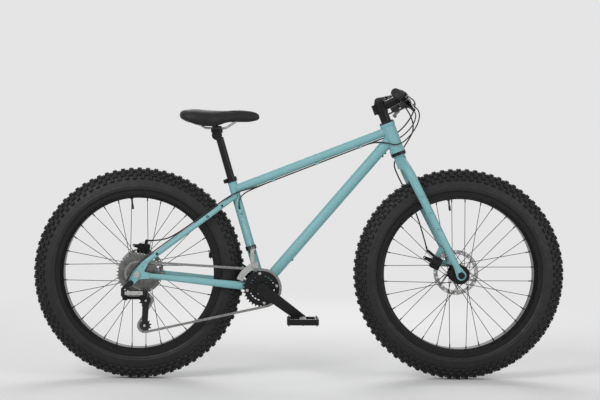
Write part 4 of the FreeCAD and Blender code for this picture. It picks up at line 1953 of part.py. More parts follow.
# Points of the rear shift housing round the axle, and the straight ends of the other housings
PAST_AXLE = Vector(6, -100, 44)
BEHIND_AXLE = Vector(-22, -103, 4)
SHIFT_END = Vector(-34.5, -102.5, -24)
BRAKE_RUN = 50
STOP_RUN = 46


def above_stay(side, along, share):
    """Point just above a seatstay, a distance down it; the share moves it from bend to dropout side."""
    sideways = D.seatstay_bend_side + (dropout_middle - D.seatstay_bend_side) * share
    return seatstay_head + stay_along * along + stay_above * STAY_RISE + ACROSS * (side * sideways)


def stay_route(side):
    """Housing points from under the top tube, past the seat tube and along the top of one seatstay."""
    lane = side * HOUSING_PITCH
    length = (stay_foot - seatstay_head).Length
    beside = seatstay_head + Vector(SEAT_TUBE_PASS[0], side * SEAT_TUBE_PASS[1], SEAT_TUBE_PASS[2])
    sideways = ACROSS * (side * SHOULDER_SIDE)
    shoulder = seatstay_head + stay_along * SHOULDER_ALONG + stay_above * STAY_RISE + sideways
    return [housing_line(HOUSING_START, lane), housing_line(HOUSING_LEAVE, lane), beside, shoulder,
            above_stay(side, D.seatstay_bend, 0)], length


def frame_housings():
    """Housings of the rear brake, rear derailleur and front derailleur, held by the frame all the way."""
    right_route, length = stay_route(RIGHT)
    round_axle = [rear_axle + offset for offset in (PAST_AXLE, BEHIND_AXLE, SHIFT_END)]
    rear_shift = right_route + [above_stay(RIGHT, 0.82 * length, 0.7)] + round_axle
    left_route, length = stay_route(LEFT)
    stop = stop_face(rear_axle, D.rear_caliper_angle, dropout_far, REAR_STOP, AHEAD)
    rear_brake = left_route + [above_stay(LEFT, 0.66 * length, 0.5), stop + AHEAD * BRAKE_RUN, stop]
    stop_top = cable_stop_place(STOP_HEIGHT + STOP_LENGTH / 2 + D.running_clearance)
    stop_bottom = cable_stop_place(STOP_HEIGHT - STOP_LENGTH / 2 - D.inner_wire_od / 4)
    front_shift = [housing_line(HOUSING_START, 0), housing_line(HOUSING_LEAVE + 0.04, 0),
                   stop_top + seat_rise * STOP_RUN, stop_top]
    wire_end = fd_pivot + Vector(-2, 2, FD_ARM + D.inner_wire_od)
    wire = cylinder(D.inner_wire_od / 2, stop_bottom, wire_end)
    node("frame_housings", housing("rear_shift_housing", D.shift_housing_od, rear_shift),
         housing("rear_brake_housing", D.brake_housing_od, rear_brake),
         housing("front_shift_housing", D.shift_housing_od, front_shift), feature("front_shift_wire", wire))


def control_exit(frame, exit_point):
    """Point where a housing leaves a control on the bar, and its heading."""
    return frame.multVec(exit_point), frame.Rotation.multVec(Vector(-1, 0, 0))


def lever_exit(side):
    return control_exit(lever_frame(side), barrel_exit(side))


def shifter_exit(side):
    return control_exit(shifter_frame(side), nose_exit(side))


HEAD_PASS = 37
TUCK_SIDE = 24
LOOP_SIDE = 42
LOOP_TURN = (14, 10)
LOOP_BEHIND = 8
LOOP_RUN = 40


def loop_route(exit_and_heading, start_side, reach, front_drop, pass_side, pass_drop, lane, dip):
    """Route from a control, ahead of the head tube, past one side of it and in under the top tube."""
    start, heading = exit_and_heading
    front = bar_center + Vector(reach, start_side * LOOP_SIDE, -front_drop)
    turn = bar_center + Vector(reach - LOOP_TURN[0], pass_side * LOOP_TURN[1],
                               -(front_drop + pass_drop) / 2)
    beside = bar_center + Vector(-LOOP_BEHIND, pass_side * HEAD_PASS, -pass_drop)
    tuck = housing_line(HOUSING_TUCK + 0.05, pass_side * TUCK_SIDE) + UP * -dip
    enter = housing_line(HOUSING_START + 0.05, lane)
    return [start, start + heading * LOOP_RUN, front, turn, beside, tuck, enter,
            housing_line(HOUSING_START, lane)]


def cable_loops():
    """Free loops from the bar to the frame, which give when the bar turns."""
    rear_shift = loop_route(shifter_exit(RIGHT), RIGHT, 66, 50, RIGHT, 172, RIGHT * HOUSING_PITCH, 14)
    rear_brake = loop_route(lever_exit(RIGHT), RIGHT, 50, 18, LEFT, 126, LEFT * HOUSING_PITCH, 0)
    front_shift = loop_route(shifter_exit(LEFT), LEFT, 60, 46, LEFT, 150, 0, 17)
    node("cable_loops", housing("rear_shift_loop", D.shift_housing_od, rear_shift),
         housing("rear_brake_loop", D.brake_housing_od, rear_brake),
         housing("front_shift_loop", D.shift_housing_od, front_shift))


def front_brake_housing():
    """Housing from the left lever down behind the left fork leg; it turns with the fork."""
    start, heading = lever_exit(LEFT)
    upright = Vector(-0.25, 0, 1).normalize()
    stop = stop_face(front_axle, D.front_caliper_angle, fork_tip_far, FRONT_STOP, upright)
    behind_leg = leg_point(LEFT, 200) - steer_ahead * 27
    route = [start, start + heading * 60, bar_center + Vector(62, 78, -96), crown + Vector(28, 56, 34),
             crown + Vector(-18, 60, -24), leg_point(LEFT, 76) - steer_ahead * 31, behind_leg,
             stop + upright * 40, stop]
    node("front_brake_housing", housing("front_brake_cable", D.brake_housing_od, route))


# Build every sub-part, check it and write it

wheels()
front_triangle()
rear_triangle()
bottom_bracket_cups()
headset_cups()
seat_collar()
fork()
brakes()
headset_spacers()
stem_and_faceplate()
handlebar()
grips()
controls()
seatpost()
seat_clamp()
saddle()
chain()
cassette()
for side, name in ((RIGHT, "right"), (LEFT, "left")):
    crank_arm(side, name)
    pedal(side, name)
chainrings()
derailleur_links()
derailleur_knuckle()
derailleur_body()
derailleur_cage()
pulleys()
front_derailleur()
frame_housings()
cable_loops()
front_brake_housing()
doc.recompute()

for item in doc.Objects:
    if "Invalid" in item.State or "Error" in item.State:
        raise RuntimeError(f"{item.Name} was not built: {item.State}")
os.makedirs("parts", exist_ok=True)
for label, item in nodes.items():
    shape = item.Shape
    if shape.isNull() or not shape.isValid():
        raise RuntimeError(f"{label} has no valid shape")
    shape.exportStep(f"parts/{label}.step")
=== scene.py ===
import math

import bmesh
import bpy
from bpy.props import FloatProperty, FloatVectorProperty, IntProperty, PointerProperty
from mathutils import Matrix, Vector


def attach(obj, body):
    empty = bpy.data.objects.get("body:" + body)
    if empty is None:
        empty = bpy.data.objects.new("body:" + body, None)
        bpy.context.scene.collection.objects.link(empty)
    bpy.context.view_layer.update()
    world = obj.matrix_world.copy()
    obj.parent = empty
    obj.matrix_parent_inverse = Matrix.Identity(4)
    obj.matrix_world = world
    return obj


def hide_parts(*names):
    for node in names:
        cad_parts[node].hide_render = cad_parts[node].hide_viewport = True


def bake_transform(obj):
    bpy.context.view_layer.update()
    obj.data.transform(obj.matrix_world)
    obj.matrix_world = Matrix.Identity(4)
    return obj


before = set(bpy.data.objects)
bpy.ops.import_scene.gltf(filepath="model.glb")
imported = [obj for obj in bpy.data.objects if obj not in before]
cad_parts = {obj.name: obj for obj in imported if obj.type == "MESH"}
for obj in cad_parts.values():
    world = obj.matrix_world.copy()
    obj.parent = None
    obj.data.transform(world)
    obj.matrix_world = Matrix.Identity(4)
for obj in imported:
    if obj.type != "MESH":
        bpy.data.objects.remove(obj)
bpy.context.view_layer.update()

bl_info = {
    "name": "Fat tire bike",
    "version": (1, 0, 0),
    "blender": (4, 5, 0),
    "location": "View3D > Sidebar > Bike",
    "description": "Dresses the fat tire bike with tires, saddle, grips, cables, bolts, welds and finishes",
    "category": "Object",
}

# Frame: +X forward, +Y to the rider's left, +Z up, in metres; the drive side faces -Y.

ACROSS = Vector((0, 1, 0))
UP = Vector((0, 0, 1))
AHEAD = Vector((1, 0, 0))
# The rider's right and left
SIDES = (-1, 1)

# Layout points of the bike, as in the part's source

REAR_AXLE = Vector((-0.5625, 0, 0.371))
FRONT_AXLE = Vector((0.5625, 0, 0.371))
BOTTOM_BRACKET = Vector((-0.12915, 0, 0.323))
SEAT_RISE = Vector((-0.2790, 0, 0.9603))
STEER_UP = Vector((-0.3584, 0, 0.9336))
STEER_AHEAD = Vector((0.9336, 0, 0.3584))
HEAD_BOTTOM = Vector((0.34768, 0, 0.79947))
HEAD_TOP = Vector((0.30898, 0, 0.9003))
CROWN = Vector((0.35198, 0, 0.78827))
LEG_HEADING = Vector((0.4504, 0, -0.8928))
STEM_CENTER = Vector((0.2880, 0, 0.9549))
STEM_AXIS = Vector((0.8910, 0, 0.4540))
BAR_CENTER = Vector((0.3593, 0, 0.9912))
TOP_TUBE_FRONT = Vector((0.31804, 0, 0.87668))
TOP_TUBE_BACK = Vector((-0.22819, 0, 0.6639))
DOWN_TUBE_FRONT = Vector((0.32743, 0, 0.85222))
SEATSTAY_HEAD = Vector((-0.2223, 0, 0.6437))
STAY_FOOT = Vector((-0.5305, 0, 0.4150))
TILT_CENTER = Vector((-0.29048, 0, 0.85632))
WHEELS = {"rear": REAR_AXLE, "front": FRONT_AXLE}


# Settings that a user may change

def length_setting(name, default, description):
    return FloatProperty(
        name=name, description=description, default=default, unit="LENGTH", subtype="DISTANCE")


def colour_setting(name, default, description):
    return FloatVectorProperty(
        name=name, description=description, default=default, subtype="COLOR", min=0, max=1)


class BikeSizes(bpy.types.PropertyGroup):
    """Sizes of the pieces that dress the bike"""
    knob_pitches: IntProperty(
        name="Knob pitches", description="Tread blocks in one row round the tire", default=78, min=20,
        max=160)
    knob_height: length_setting("Knob height", 0.0072, "Height of the tread blocks over the casing")
    tire_section: length_setting("Tire section radius", 0.0492, "Radius of its section over the blocks")
    rib_pitch: length_setting("Grip rib pitch", 0.0042, "Distance from one rib of the grips to the next")
    weld_bead: length_setting("Weld bead radius", 0.0024, "Radius of one ripple of the welds")
    brake_housing: length_setting("Brake housing", 0.005, "Outside diameter of the brake housings")
    shift_housing: length_setting("Shift housing", 0.0044, "Outside diameter of the shift housings")
    inner_wire: length_setting("Inner wire", 0.0016, "Diameter of the bare wires")


class BikeColours(bpy.types.PropertyGroup):
    """Colours of the bike's finishes"""
    paint: colour_setting("Frame paint", (0.212, 0.44, 0.466), "Light blue-green of frame and fork")
    black: colour_setting("Black parts", (0.009, 0.009, 0.0095), "Anodised and painted black parts")
    rubber: colour_setting("Rubber", (0.007, 0.007, 0.0073), "Tires and grips")
    dust: colour_setting("Dust", (0.02, 0.0195, 0.019), "Dry dust on the tires")
    steel: colour_setting("Bare steel", (0.46, 0.46, 0.45), "Sprockets, rotors, rails and bare bolts")
    chain: colour_setting("Oiled chain", (0.3, 0.3, 0.29), "Links of the chain")
    cover: colour_setting("Saddle cover", (0.007, 0.007, 0.0075), "Cover of the saddle")
    floor: colour_setting("Floor", (0.78, 0.78, 0.78), "Pale floor")


# Building blocks of the materials

def new_finish(name, colour, roughness, metallic=0.0, specular=0.5):
    """Material with a plain shader, ready for its patterns."""
    material = bpy.data.materials.new(name)
    material.use_nodes = True
    shader = material.node_tree.nodes["Principled BSDF"]
    shader.inputs["Base Color"].default_value = (*colour, 1)
    shader.inputs["Roughness"].default_value = roughness
    shader.inputs["Metallic"].default_value = metallic
    shader.inputs["Specular IOR Level"].default_value = specular
    return material, material.node_tree, shader


def place_pattern(tree, stretch=(1, 1, 1), center=(0, 0, 0)):
    """Object coordinates, stretched, and centred on a point of the bike."""
    coords = tree.nodes.new("ShaderNodeTexCoord")
    mapping = tree.nodes.new("ShaderNodeMapping")
    mapping.inputs["Scale"].default_value = stretch
    mapping.inputs["Location"].default_value = [-at * by for at, by in zip(center, stretch)]
    tree.links.new(coords.outputs["Object"], mapping.inputs["Vector"])
    return mapping.outputs["Vector"]


def texture(tree, kind, values, stretch=(1, 1, 1), center=(0, 0, 0)):
    """Texture node with its values set, laid on the bike."""
    node = tree.nodes.new(kind)
    for socket, value in values.items():
        node.inputs[socket].default_value = value
    tree.links.new(place_pattern(tree, stretch, center), node.inputs["Vector"])
    return node


def noise(tree, scale, detail=4.0, stretch=(1, 1, 1)):
    return texture(tree, "ShaderNodeTexNoise", {"Scale": scale, "Detail": detail}, stretch).outputs["Fac"]


def cells(tree, scale, feature="F1"):
    node = texture(tree, "ShaderNodeTexVoronoi", {"Scale": scale})
    node.feature = feature
    return node.outputs["Distance"]


def rings(tree, scale, center):
    """Turning marks round an axle."""
    values = {"Scale": scale, "Distortion": 0.6, "Detail": 3}
    node = texture(tree, "ShaderNodeTexWave", values, center=center)
    node.wave_type = "RINGS"
    node.rings_direction = "Y"
    return node.outputs["Fac"]


def worked_out(tree, operation, first, second):
    """Value worked out from two others."""
    node = tree.nodes.new("ShaderNodeMath")
    node.operation = operation
    tree.links.new(first, node.inputs[0])
    tree.links.new(second, node.inputs[1])
    return node.outputs["Value"]


def between(tree, source, low, high, start=0.3, end=0.7):
    """Source spread over a new range of values."""
    spread = tree.nodes.new("ShaderNodeMapRange")
    for socket, value in (("From Min", start), ("From Max", end), ("To Min", low), ("To Max", high)):
        spread.inputs[socket].default_value = value
    tree.links.new(source, spread.inputs["Value"])
    return spread.outputs["Result"]


# Colour sockets of a mix node
MIX_FIRST = 6
MIX_SECOND = 7
MIX_RESULT = 2


def vary_colour(tree, shader, first, second, source, start=0.35, end=0.75):
    """Base colour that drifts from the first colour to the second where the pattern is strong."""
    mix = tree.nodes.new("ShaderNodeMix")
    mix.data_type = "RGBA"
    mix.inputs[MIX_FIRST].default_value = (*first, 1)
    mix.inputs[MIX_SECOND].default_value = (*second, 1)
    tree.links.new(between(tree, source, 0, 1, start, end), mix.inputs[0])
    tree.links.new(mix.outputs[MIX_RESULT], shader.inputs["Base Color"])


def vary_roughness(tree, shader, source, low, high):
    tree.links.new(between(tree, source, low, high), shader.inputs["Roughness"])


def raise_surface(tree, shader, source, strength, depth):
    bump = tree.nodes.new("ShaderNodeBump")
    bump.inputs["Strength"].default_value = strength
    bump.inputs["Distance"].default_value = depth
    tree.links.new(source, bump.inputs["Height"])
    tree.links.new(bump.outputs["Normal"], shader.inputs["Normal"])


def shaded(colour, factor):
    return [min(1, part * factor) for part in colour]


# Finishes of the bike

def frame_paint_finish(colours):
    """Satin paint with a very faint orange peel and dust that dulls it in places."""
    material, tree, shader = new_finish("frame_paint_finish", colours.paint, 0.5, specular=0.3)
    shader.inputs["Coat Weight"].default_value = 0.1
    shader.inputs["Coat Roughness"].default_value = 0.4
    vary_colour(tree, shader, colours.paint, shaded(colours.paint, 0.9), noise(tree, 9))
    vary_roughness(tree, shader, noise(tree, 14, 2), 0.46, 0.58)
    raise_surface(tree, shader, noise(tree, 40, 1), 0.01, 0.0002)
    return material


def black_aluminium_finish(colours):
    """Anodised aluminium: satin, a little uneven, with fine drawing marks and rubbed spots."""
    material, tree, shader = new_finish("black_aluminium_finish", colours.black, 0.36, 0.35, 0.3)
    vary_colour(tree, shader, colours.black, shaded(colours.black, 2.6), noise(tree, 160, 6), 0.62, 0.8)
    vary_roughness(tree, shader, noise(tree, 90), 0.26, 0.4)
    raise_surface(tree, shader, noise(tree, 500, 3, (1, 0.12, 1)), 0.12, 0.0003)
    return material


def black_metal_finish(colours):
    """Painted black steel, slightly grainy."""
    material, tree, shader = new_finish("black_metal_finish", colours.black, 0.4, 0.15, 0.3)
    vary_colour(tree, shader, colours.black, shaded(colours.black, 2.0), noise(tree, 220), 0.5, 0.8)
    vary_roughness(tree, shader, noise(tree, 120), 0.34, 0.5)
    raise_surface(tree, shader, noise(tree, 1200, 2), 0.15, 0.0002)
    return material


def bare_steel_finish(colours):
    """Bare steel with fine scratches and darker oily patches."""
    material, tree, shader = new_finish("bare_steel_finish", colours.steel, 0.3, 1.0)
    vary_colour(tree, shader, colours.steel, shaded(colours.steel, 0.45), noise(tree, 70, 6), 0.5, 0.85)
    vary_roughness(tree, shader, noise(tree, 300, 4, (1, 1, 0.1)), 0.22, 0.42)
    raise_surface(tree, shader, noise(tree, 900, 2, (0.1, 1, 1)), 0.1, 0.0002)
    return material


def turned_steel_finish(name, colours, axle, tone):
    """Steel disc or sprocket with turning marks round its axle; a low tone is painted shade of cut-outs and
    gaps.
    """
    # A tone under one darkens the steel with painted shade
    clean = shaded(colours.steel, tone)
    material, tree, shader = new_finish(name, clean, 0.3, 1.0)
    marks = rings(tree, 260, axle)
    vary_colour(tree, shader, clean, shaded(clean, 0.4), noise(tree, 45, 6), 0.4, 0.75)
    vary_roughness(tree, shader, marks, 0.24, 0.4)
    raise_surface(tree, shader, marks, 0.12, 0.0002)
    return material


def oiled_chain_finish(colours):
    """Steel links, darkened by oil and dust, brighter where the plates rub."""
    material, tree, shader = new_finish("oiled_chain_finish", colours.chain, 0.38, 1.0)
    vary_colour(tree, shader, colours.chain, shaded(colours.chain, 0.3), noise(tree, 320, 5), 0.45, 0.7)
    vary_roughness(tree, shader, noise(tree, 240), 0.3, 0.5)
    raise_surface(tree, shader, noise(tree, 900, 2), 0.1, 0.0002)
    return material


def tire_rubber_finish(colours):
    """Satin black rubber with a fine moulded grain and dry dust."""
    material, tree, shader = new_finish("tire_rubber_finish", colours.rubber, 0.8, specular=0.36)
    vary_colour(tree, shader, colours.rubber, colours.dust, noise(tree, 26, 8), 0.48, 0.95)
    vary_roughness(tree, shader, noise(tree, 80), 0.46, 0.64)
    raise_surface(tree, shader, noise(tree, 900, 3), 0.2, 0.0004)
    return material


def grip_rubber_finish(colours):
    """Soft rubber with a pebbled skin."""
    material, tree, shader = new_finish("grip_rubber_finish", colours.rubber, 0.75)
    vary_colour(tree, shader, colours.rubber, shaded(colours.dust, 0.7), noise(tree, 70), 0.45, 0.9)
    vary_roughness(tree, shader, noise(tree, 90), 0.62, 0.82)
    raise_surface(tree, shader, cells(tree, 1100), 0.3, 0.0004)
    return material


def tube_rubber_finish(colours):
    """Thin butyl rubber of the inner tubes and the black sleeve of their valves."""
    material, tree, shader = new_finish("tube_rubber_finish", shaded(colours.rubber, 1.6), 0.5)
    vary_roughness(tree, shader, noise(tree, 140), 0.4, 0.6)
    raise_surface(tree, shader, noise(tree, 600, 2), 0.1, 0.0003)
    return material


def housing_finish(colours):
    """Glossy cable housing, lightly scuffed."""
    material, tree, shader = new_finish("housing_finish", colours.black, 0.34)
    clean = shaded(colours.black, 0.8)
    vary_colour(tree, shader, clean, shaded(colours.black, 2.2), noise(tree, 110), 0.55, 0.85)
    vary_roughness(tree, shader, noise(tree, 150), 0.28, 0.48)
    raise_surface(tree, shader, noise(tree, 500, 2), 0.08, 0.0003)
    return material


def saddle_cover_finish(colours):
    """Grained synthetic leather, polished a little where a rider sits."""
    material, tree, shader = new_finish("saddle_cover_finish", colours.cover, 0.5, specular=0.3)
    shader.inputs["Sheen Weight"].default_value = 0.03
    shader.inputs["Sheen Roughness"].default_value = 0.4
    vary_colour(tree, shader, colours.cover, shaded(colours.cover, 1.8), noise(tree, 30, 6), 0.45, 0.9)
    vary_roughness(tree, shader, noise(tree, 22), 0.42, 0.6)
    raise_surface(tree, shader, cells(tree, 750, "DISTANCE_TO_EDGE"), 0.35, 0.0006)
    return material


def black_plastic_finish(colours):
    """Moulded plastic with a fine spark texture."""
    clean = shaded(colours.black, 1.3)
    material, tree, shader = new_finish("black_plastic_finish", clean, 0.5)
    vary_colour(tree, shader, clean, shaded(colours.black, 2.4), noise(tree, 60), 0.5, 0.9)
    vary_roughness(tree, shader, noise(tree, 130), 0.42, 0.6)
    raise_surface(tree, shader, noise(tree, 1500, 2), 0.2, 0.0003)
    return material


FINISH_MAKERS = {
    "frame_paint": frame_paint_finish, "black_aluminium": black_aluminium_finish,
    "black_metal": black_metal_finish, "bare_steel": bare_steel_finish, "oiled_chain": oiled_chain_finish,
    "tire_rubber": tire_rubber_finish, "grip_rubber": grip_rubber_finish, "tube_rubber": tube_rubber_finish,
    "housing_black": housing_finish, "saddle_cover": saddle_cover_finish,
    "black_plastic": black_plastic_finish,
}

# Carried-over pieces of the bike by finish
NODE_FINISHES = {
    "frame_paint": ("front_triangle", "rear_triangle", "fork"),
    "black_aluminium": (
        "headset_cups", "headset_spacers", "stem", "stem_faceplate", "handlebar", "seat_collar", "seatpost",
        "seat_clamp", "bottom_bracket_cups", "front_rim", "rear_rim", "front_hub", "rear_hub",
        "crank_arm_right",
        "crank_arm_left", "chainrings", "pedal_right", "pedal_left", "brake_brackets", "brake_lever_right",
        "brake_lever_left", "front_caliper", "rear_caliper", "front_caliper_arm", "rear_caliper_arm",
        "front_axle"),
    "black_metal": (
        "front_spokes", "rear_spokes", "derailleur_knuckle", "derailleur_body", "derailleur_cage",
        "derailleur_inner_link", "front_derailleur_mount"),
    "bare_steel": ("saddle_rails", "derailleur_outer_link", "front_derailleur_cage", "rear_axle"),
    "oiled_chain": ("chain",),
    "black_plastic": (
        "shifter_pods", "shift_paddle_right", "shift_paddle_left", "shift_trigger_right",
        "shift_trigger_left",
        "guide_pulley", "tension_pulley"),
}
# Turned steel pieces: the axle they turn round, and their tone against clean steel; the cassette's is
# painted shade
TURNED_STEEL = {
    "front_rotor": (FRONT_AXLE, 1.0), "rear_rotor": (REAR_AXLE, 1.0), "cassette": (REAR_AXLE, 0.42)}


def finish_for(slot):
    """Material of a slot, made when it is first asked for."""
    name = FINISH_MAKERS[slot].__name__
    return bpy.data.materials.get(name) or FINISH_MAKERS[slot](bpy.context.scene.bike_colours)


# Building blocks of the pieces

def mesh_of(name, bm):
    """Mesh from a bmesh, which is freed."""
    mesh = bpy.data.meshes.new(name)
    bm.to_mesh(mesh)
    bm.free()
    return mesh


def smooth(mesh, sharp):
    """Smooth shading but for edges sharper than an angle in degrees."""
    mesh.shade_smooth()
    mesh.set_sharp_from_angle(angle=math.radians(sharp))


def linked(name, data):
    """Object in the scene from its data."""
    item = bpy.data.objects.new(name, data)
    bpy.context.scene.collection.objects.link(item)
    return item


def new_piece(name, bm, slot, body, replaces=(), sharp=38):
    """Object from a bmesh, smooth but for its sharp edges, with a finish, on a body of the bike."""
    bmesh.ops.recalc_face_normals(bm, faces=bm.faces[:])
    mesh = mesh_of(name, bm)
    smooth(mesh, sharp)
    return dress(bpy.data.objects.new(name, mesh), slot, body, replaces)


def dress(item, slot, body=None, replaces=()):
    """Link an object with its finish and slot, and seat it on a body of the bike."""
    bpy.context.scene.collection.objects.link(item)
    item.data.materials.append(finish_for(slot))
    if body:
        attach(item, body)
    if replaces:
        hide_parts(*replaces)
    return item


# An axis that points ahead by more than this takes its own X from straight up
NEARLY_AHEAD = 0.9


def facing(spot, axis, ahead=None):
    """Matrix at a spot whose own Z points along an axis, and own X as near as it can to a second one."""
    z_axis = Vector(axis).normalized()
    hint = Vector(ahead) if ahead is not None else (AHEAD if abs(z_axis.x) < NEARLY_AHEAD else UP)
    y_axis = z_axis.cross(hint).normalized()
    x_axis = y_axis.cross(z_axis)
    turn = Matrix((x_axis, y_axis, z_axis)).transposed().to_4x4()
    return Matrix.Translation(spot) @ turn


def round_wheel(turn, radius):
    """Offset from an axle at an angle in degrees and a radius."""
    return Vector((math.cos(math.radians(turn)), 0, math.sin(math.radians(turn)))) * radius


def mirrored(point, side):
    """A point or direction of the left side, brought to a side of the bike."""
    return Vector((point.x, side * point.y, point.z))


def spun(bm, outline, place, steps, closed=False):
    """Turn an outline of (radius, height) points about a placement's own Z."""
    points = [bm.verts.new(place @ Vector((radius, 0, height))) for radius, height in outline]
    edges = [bm.edges.new(pair) for pair in zip(points, points[1:])]
    if closed:
        edges.append(bm.edges.new((points[-1], points[0])))
    axis = place.to_3x3() @ UP
    bmesh.ops.spin(bm, geom=points + edges, cent=place.translation, axis=axis, dvec=(0, 0, 0),
                   angle=2 * math.pi, steps=steps, use_merge=True)


def copies_round(bm, geometry, center, count):
    """Repeat geometry round the axle, evenly."""
    bmesh.ops.spin(bm, geom=geometry, cent=center, axis=ACROSS, dvec=(0, 0, 0),
                   angle=2 * math.pi * (count - 1) / count, steps=count - 1, use_duplicate=True)


def shown_mesh(item):
    """New mesh of what an object's modifiers or curve settings show."""
    bpy.context.view_layer.update()
    return bpy.data.meshes.new_from_object(item.evaluated_get(bpy.context.evaluated_depsgraph_get()))


def join(whole, part):
    """Add a part's bmesh to a whole, and free it."""
    mesh = mesh_of("part", part)
    whole.from_mesh(mesh)
    bpy.data.meshes.remove(mesh)


def break_edges(bm, edges, offset, steps):
    bmesh.ops.bevel(bm, geom=edges, offset=offset, offset_type="OFFSET", segments=steps, profile=0.5,
                    affect="EDGES", material=-1)


def add_drum(bm, place, radius, height, segments=20, edge=0.12):
    """Short round bar standing on a placement, with its top edge broken."""
    made = bmesh.ops.create_cone(
        bm, cap_ends=True, segments=segments, radius1=radius, radius2=radius, depth=height,
        matrix=place @ Matrix.Translation((0, 0, height / 2)))
    top = [v for v in made["verts"] if (place.inverted() @ v.co).z > height * 0.5]
    rim = [e for e in {e for v in top for e in v.link_edges} if all(v in top for v in e.verts)]
    break_edges(bm, rim, radius * edge, 2)
    return place @ Matrix.Translation((0, 0, height))


# Inset, half width and depth of a bolt's socket, as shares of the head's radius and height
SOCKET_INSET = 0.42
SOCKET_SIZE = 0.5
SOCKET_DEPTH = 0.6


def add_bolt(bm, spot, axis, radius, height):
    """Socket head bolt standing on a spot along an axis, with a hexagon recess."""
    place = facing(spot, axis)
    top = add_drum(bm, place, radius, height, 24)
    face = min(bm.faces, key=lambda f: (f.calc_center_median() - top.translation).length)
    bmesh.ops.inset_region(bm, faces=[face], thickness=radius * SOCKET_INSET, depth=0)
    back = top.inverted()
    for vert in face.verts:
        at = back @ vert.co
        around = math.atan2(at.y, at.x) % (math.pi / 3) - math.pi / 6
        size = radius * SOCKET_SIZE / math.cos(around)
        flat = Vector((at.x, at.y, 0)).normalized() * size
        vert.co = top @ flat
    hole = bmesh.ops.extrude_face_region(bm, geom=[face])
    sunk = [item for item in hole["geom"] if isinstance(item, bmesh.types.BMVert)]
    bmesh.ops.delete(bm, geom=[face], context="FACES_ONLY")
    bmesh.ops.translate(bm, verts=sunk, vec=place.to_3x3() @ Vector((0, 0, -height * SOCKET_DEPTH)))


def bolts_piece(name, slot, body, bolts):
    """One piece of all the bolts given, each by its spot, axis, radius and height."""
    whole = bmesh.new()
    for bolt in bolts:
        single = bmesh.new()
        add_bolt(single, *bolt)
        join(whole, single)
    return new_piece(name, whole, slot, body, sharp=30)


# Cables: routes from the part's source, with a point added where a long straight run meets a short one

# From under the top tube, past the seat tube and onto the left seatstay; mirrored for the right one
STAY_RUN = (
    (0.2321, 0.0070, 0.8227), (-0.0980, 0.0070, 0.6941), (-0.1557, 0.0070, 0.6716),
    (-0.2163, 0.0255, 0.6577), (-0.2638, 0.0370, 0.6291), (-0.3200, 0.0660, 0.5874))
# Body, length, size and points of each housing
CABLE_ROUTES = {
    "rear_shift_housing": ("frame", 0.986, "shift_housing", tuple((x, -y, z) for x, y, z in STAY_RUN) + (
        (-0.4828, -0.0842, 0.4666), (-0.5565, -0.1000, 0.4150), (-0.5845, -0.1030, 0.3750),
        (-0.5970, -0.1025, 0.3470))),
    "rear_brake_housing": ("frame", 0.867, "brake_housing", STAY_RUN + (
        (-0.4335, 0.0790, 0.5032), (-0.4893, 0.0984, 0.4776), (-0.5393, 0.0984, 0.4776))),
    "front_shift_housing": ("frame", 0.529, "shift_housing", (
        (0.2321, 0.0000, 0.8227), (-0.0420, 0.0000, 0.7160), (-0.1339, 0.0000, 0.6802),
        (-0.2212, -0.0194, 0.6399), (-0.2084, -0.0194, 0.5958))),
    "rear_shift_loop": ("loop", 0.392, "shift_housing", (
        (0.3695, -0.1421, 0.9685), (0.3772, -0.1028, 0.9685), (0.4253, -0.0420, 0.9412),
        (0.4113, -0.0100, 0.8802), (0.3513, -0.0370, 0.8192), (0.2977, -0.0240, 0.8342),
        (0.2594, -0.0070, 0.8334), (0.2321, -0.0070, 0.8227))),
    "rear_brake_loop": ("loop", 0.430, "brake_housing", (
        (0.3586, -0.1889, 0.9912), (0.3662, -0.1496, 0.9912), (0.4093, -0.0420, 0.9732),
        (0.3953, 0.0100, 0.9192), (0.3513, 0.0370, 0.8652), (0.2977, 0.0240, 0.8482),
        (0.2594, 0.0070, 0.8334), (0.2321, 0.0070, 0.8227))),
    "front_shift_loop": ("loop", 0.375, "shift_housing", (
        (0.3695, 0.1421, 0.9685), (0.3772, 0.1028, 0.9685), (0.4193, 0.0420, 0.9452),
        (0.4053, 0.0100, 0.8932), (0.3513, 0.0370, 0.8412), (0.2977, 0.0240, 0.8312),
        (0.2594, 0.0000, 0.8334), (0.2321, 0.0000, 0.8227))),
    "front_brake_cable": ("fork", 0.666, "brake_housing", (
        (0.3586, 0.1889, 0.9912), (0.3700, 0.1300, 0.9912), (0.4213, 0.0780, 0.8952),
        (0.3800, 0.0560, 0.8223), (0.3340, 0.0600, 0.7643), (0.3573, 0.0801, 0.7093),
        (0.4169, 0.0808, 0.6000), (0.4524, 0.0899, 0.4908), (0.4621, 0.0899, 0.4520))),
}
# Piece of the part that the housings on each body stand in for
CABLE_NODES = {"frame": "frame_housings", "loop": "cable_loops", "fork": "front_brake_housing"}


def route_curve(name, points, diameter):
    """Smooth spline along a route; a round tube where the diameter isn't zero."""
    curve = bpy.data.curves.new(name, "CURVE")
    curve.dimensions = "3D"
    curve.bevel_depth = diameter / 2
    curve.bevel_resolution = 4
    curve.resolution_u = 16
    curve.use_fill_caps = True
    spline = curve.splines.new("NURBS")
    spline.points.add(len(points) - 1)
    for point, place in zip(spline.points, points):
        point.co = (*place, 1)
    spline.order_u = 3
    spline.use_endpoint_u = True
    return curve


def route_mesh(name, points, diameter):
    """Mesh of a route's spline: a tube, or a bare line where the diameter is zero."""
    curve = route_curve(name, points, diameter)
    line = linked(name, curve)
    mesh = shown_mesh(line)
    bpy.data.objects.remove(line)
    bpy.data.curves.remove(curve)
    return mesh


def route_points(points):
    """Points along a route's spline."""
    mesh = route_mesh("route", points, 0)
    places = [vert.co.copy() for vert in mesh.vertices]
    bpy.data.meshes.remove(mesh)
    return places


TUBE_SHARP = 60


def tube_mesh(name, points, diameter):
    """Mesh tube along a route's spline."""
    mesh = route_mesh(name + "_line", points, diameter)
    mesh.name = name
    smooth(mesh, TUBE_SHARP)
    return bpy.data.objects.new(name, mesh)


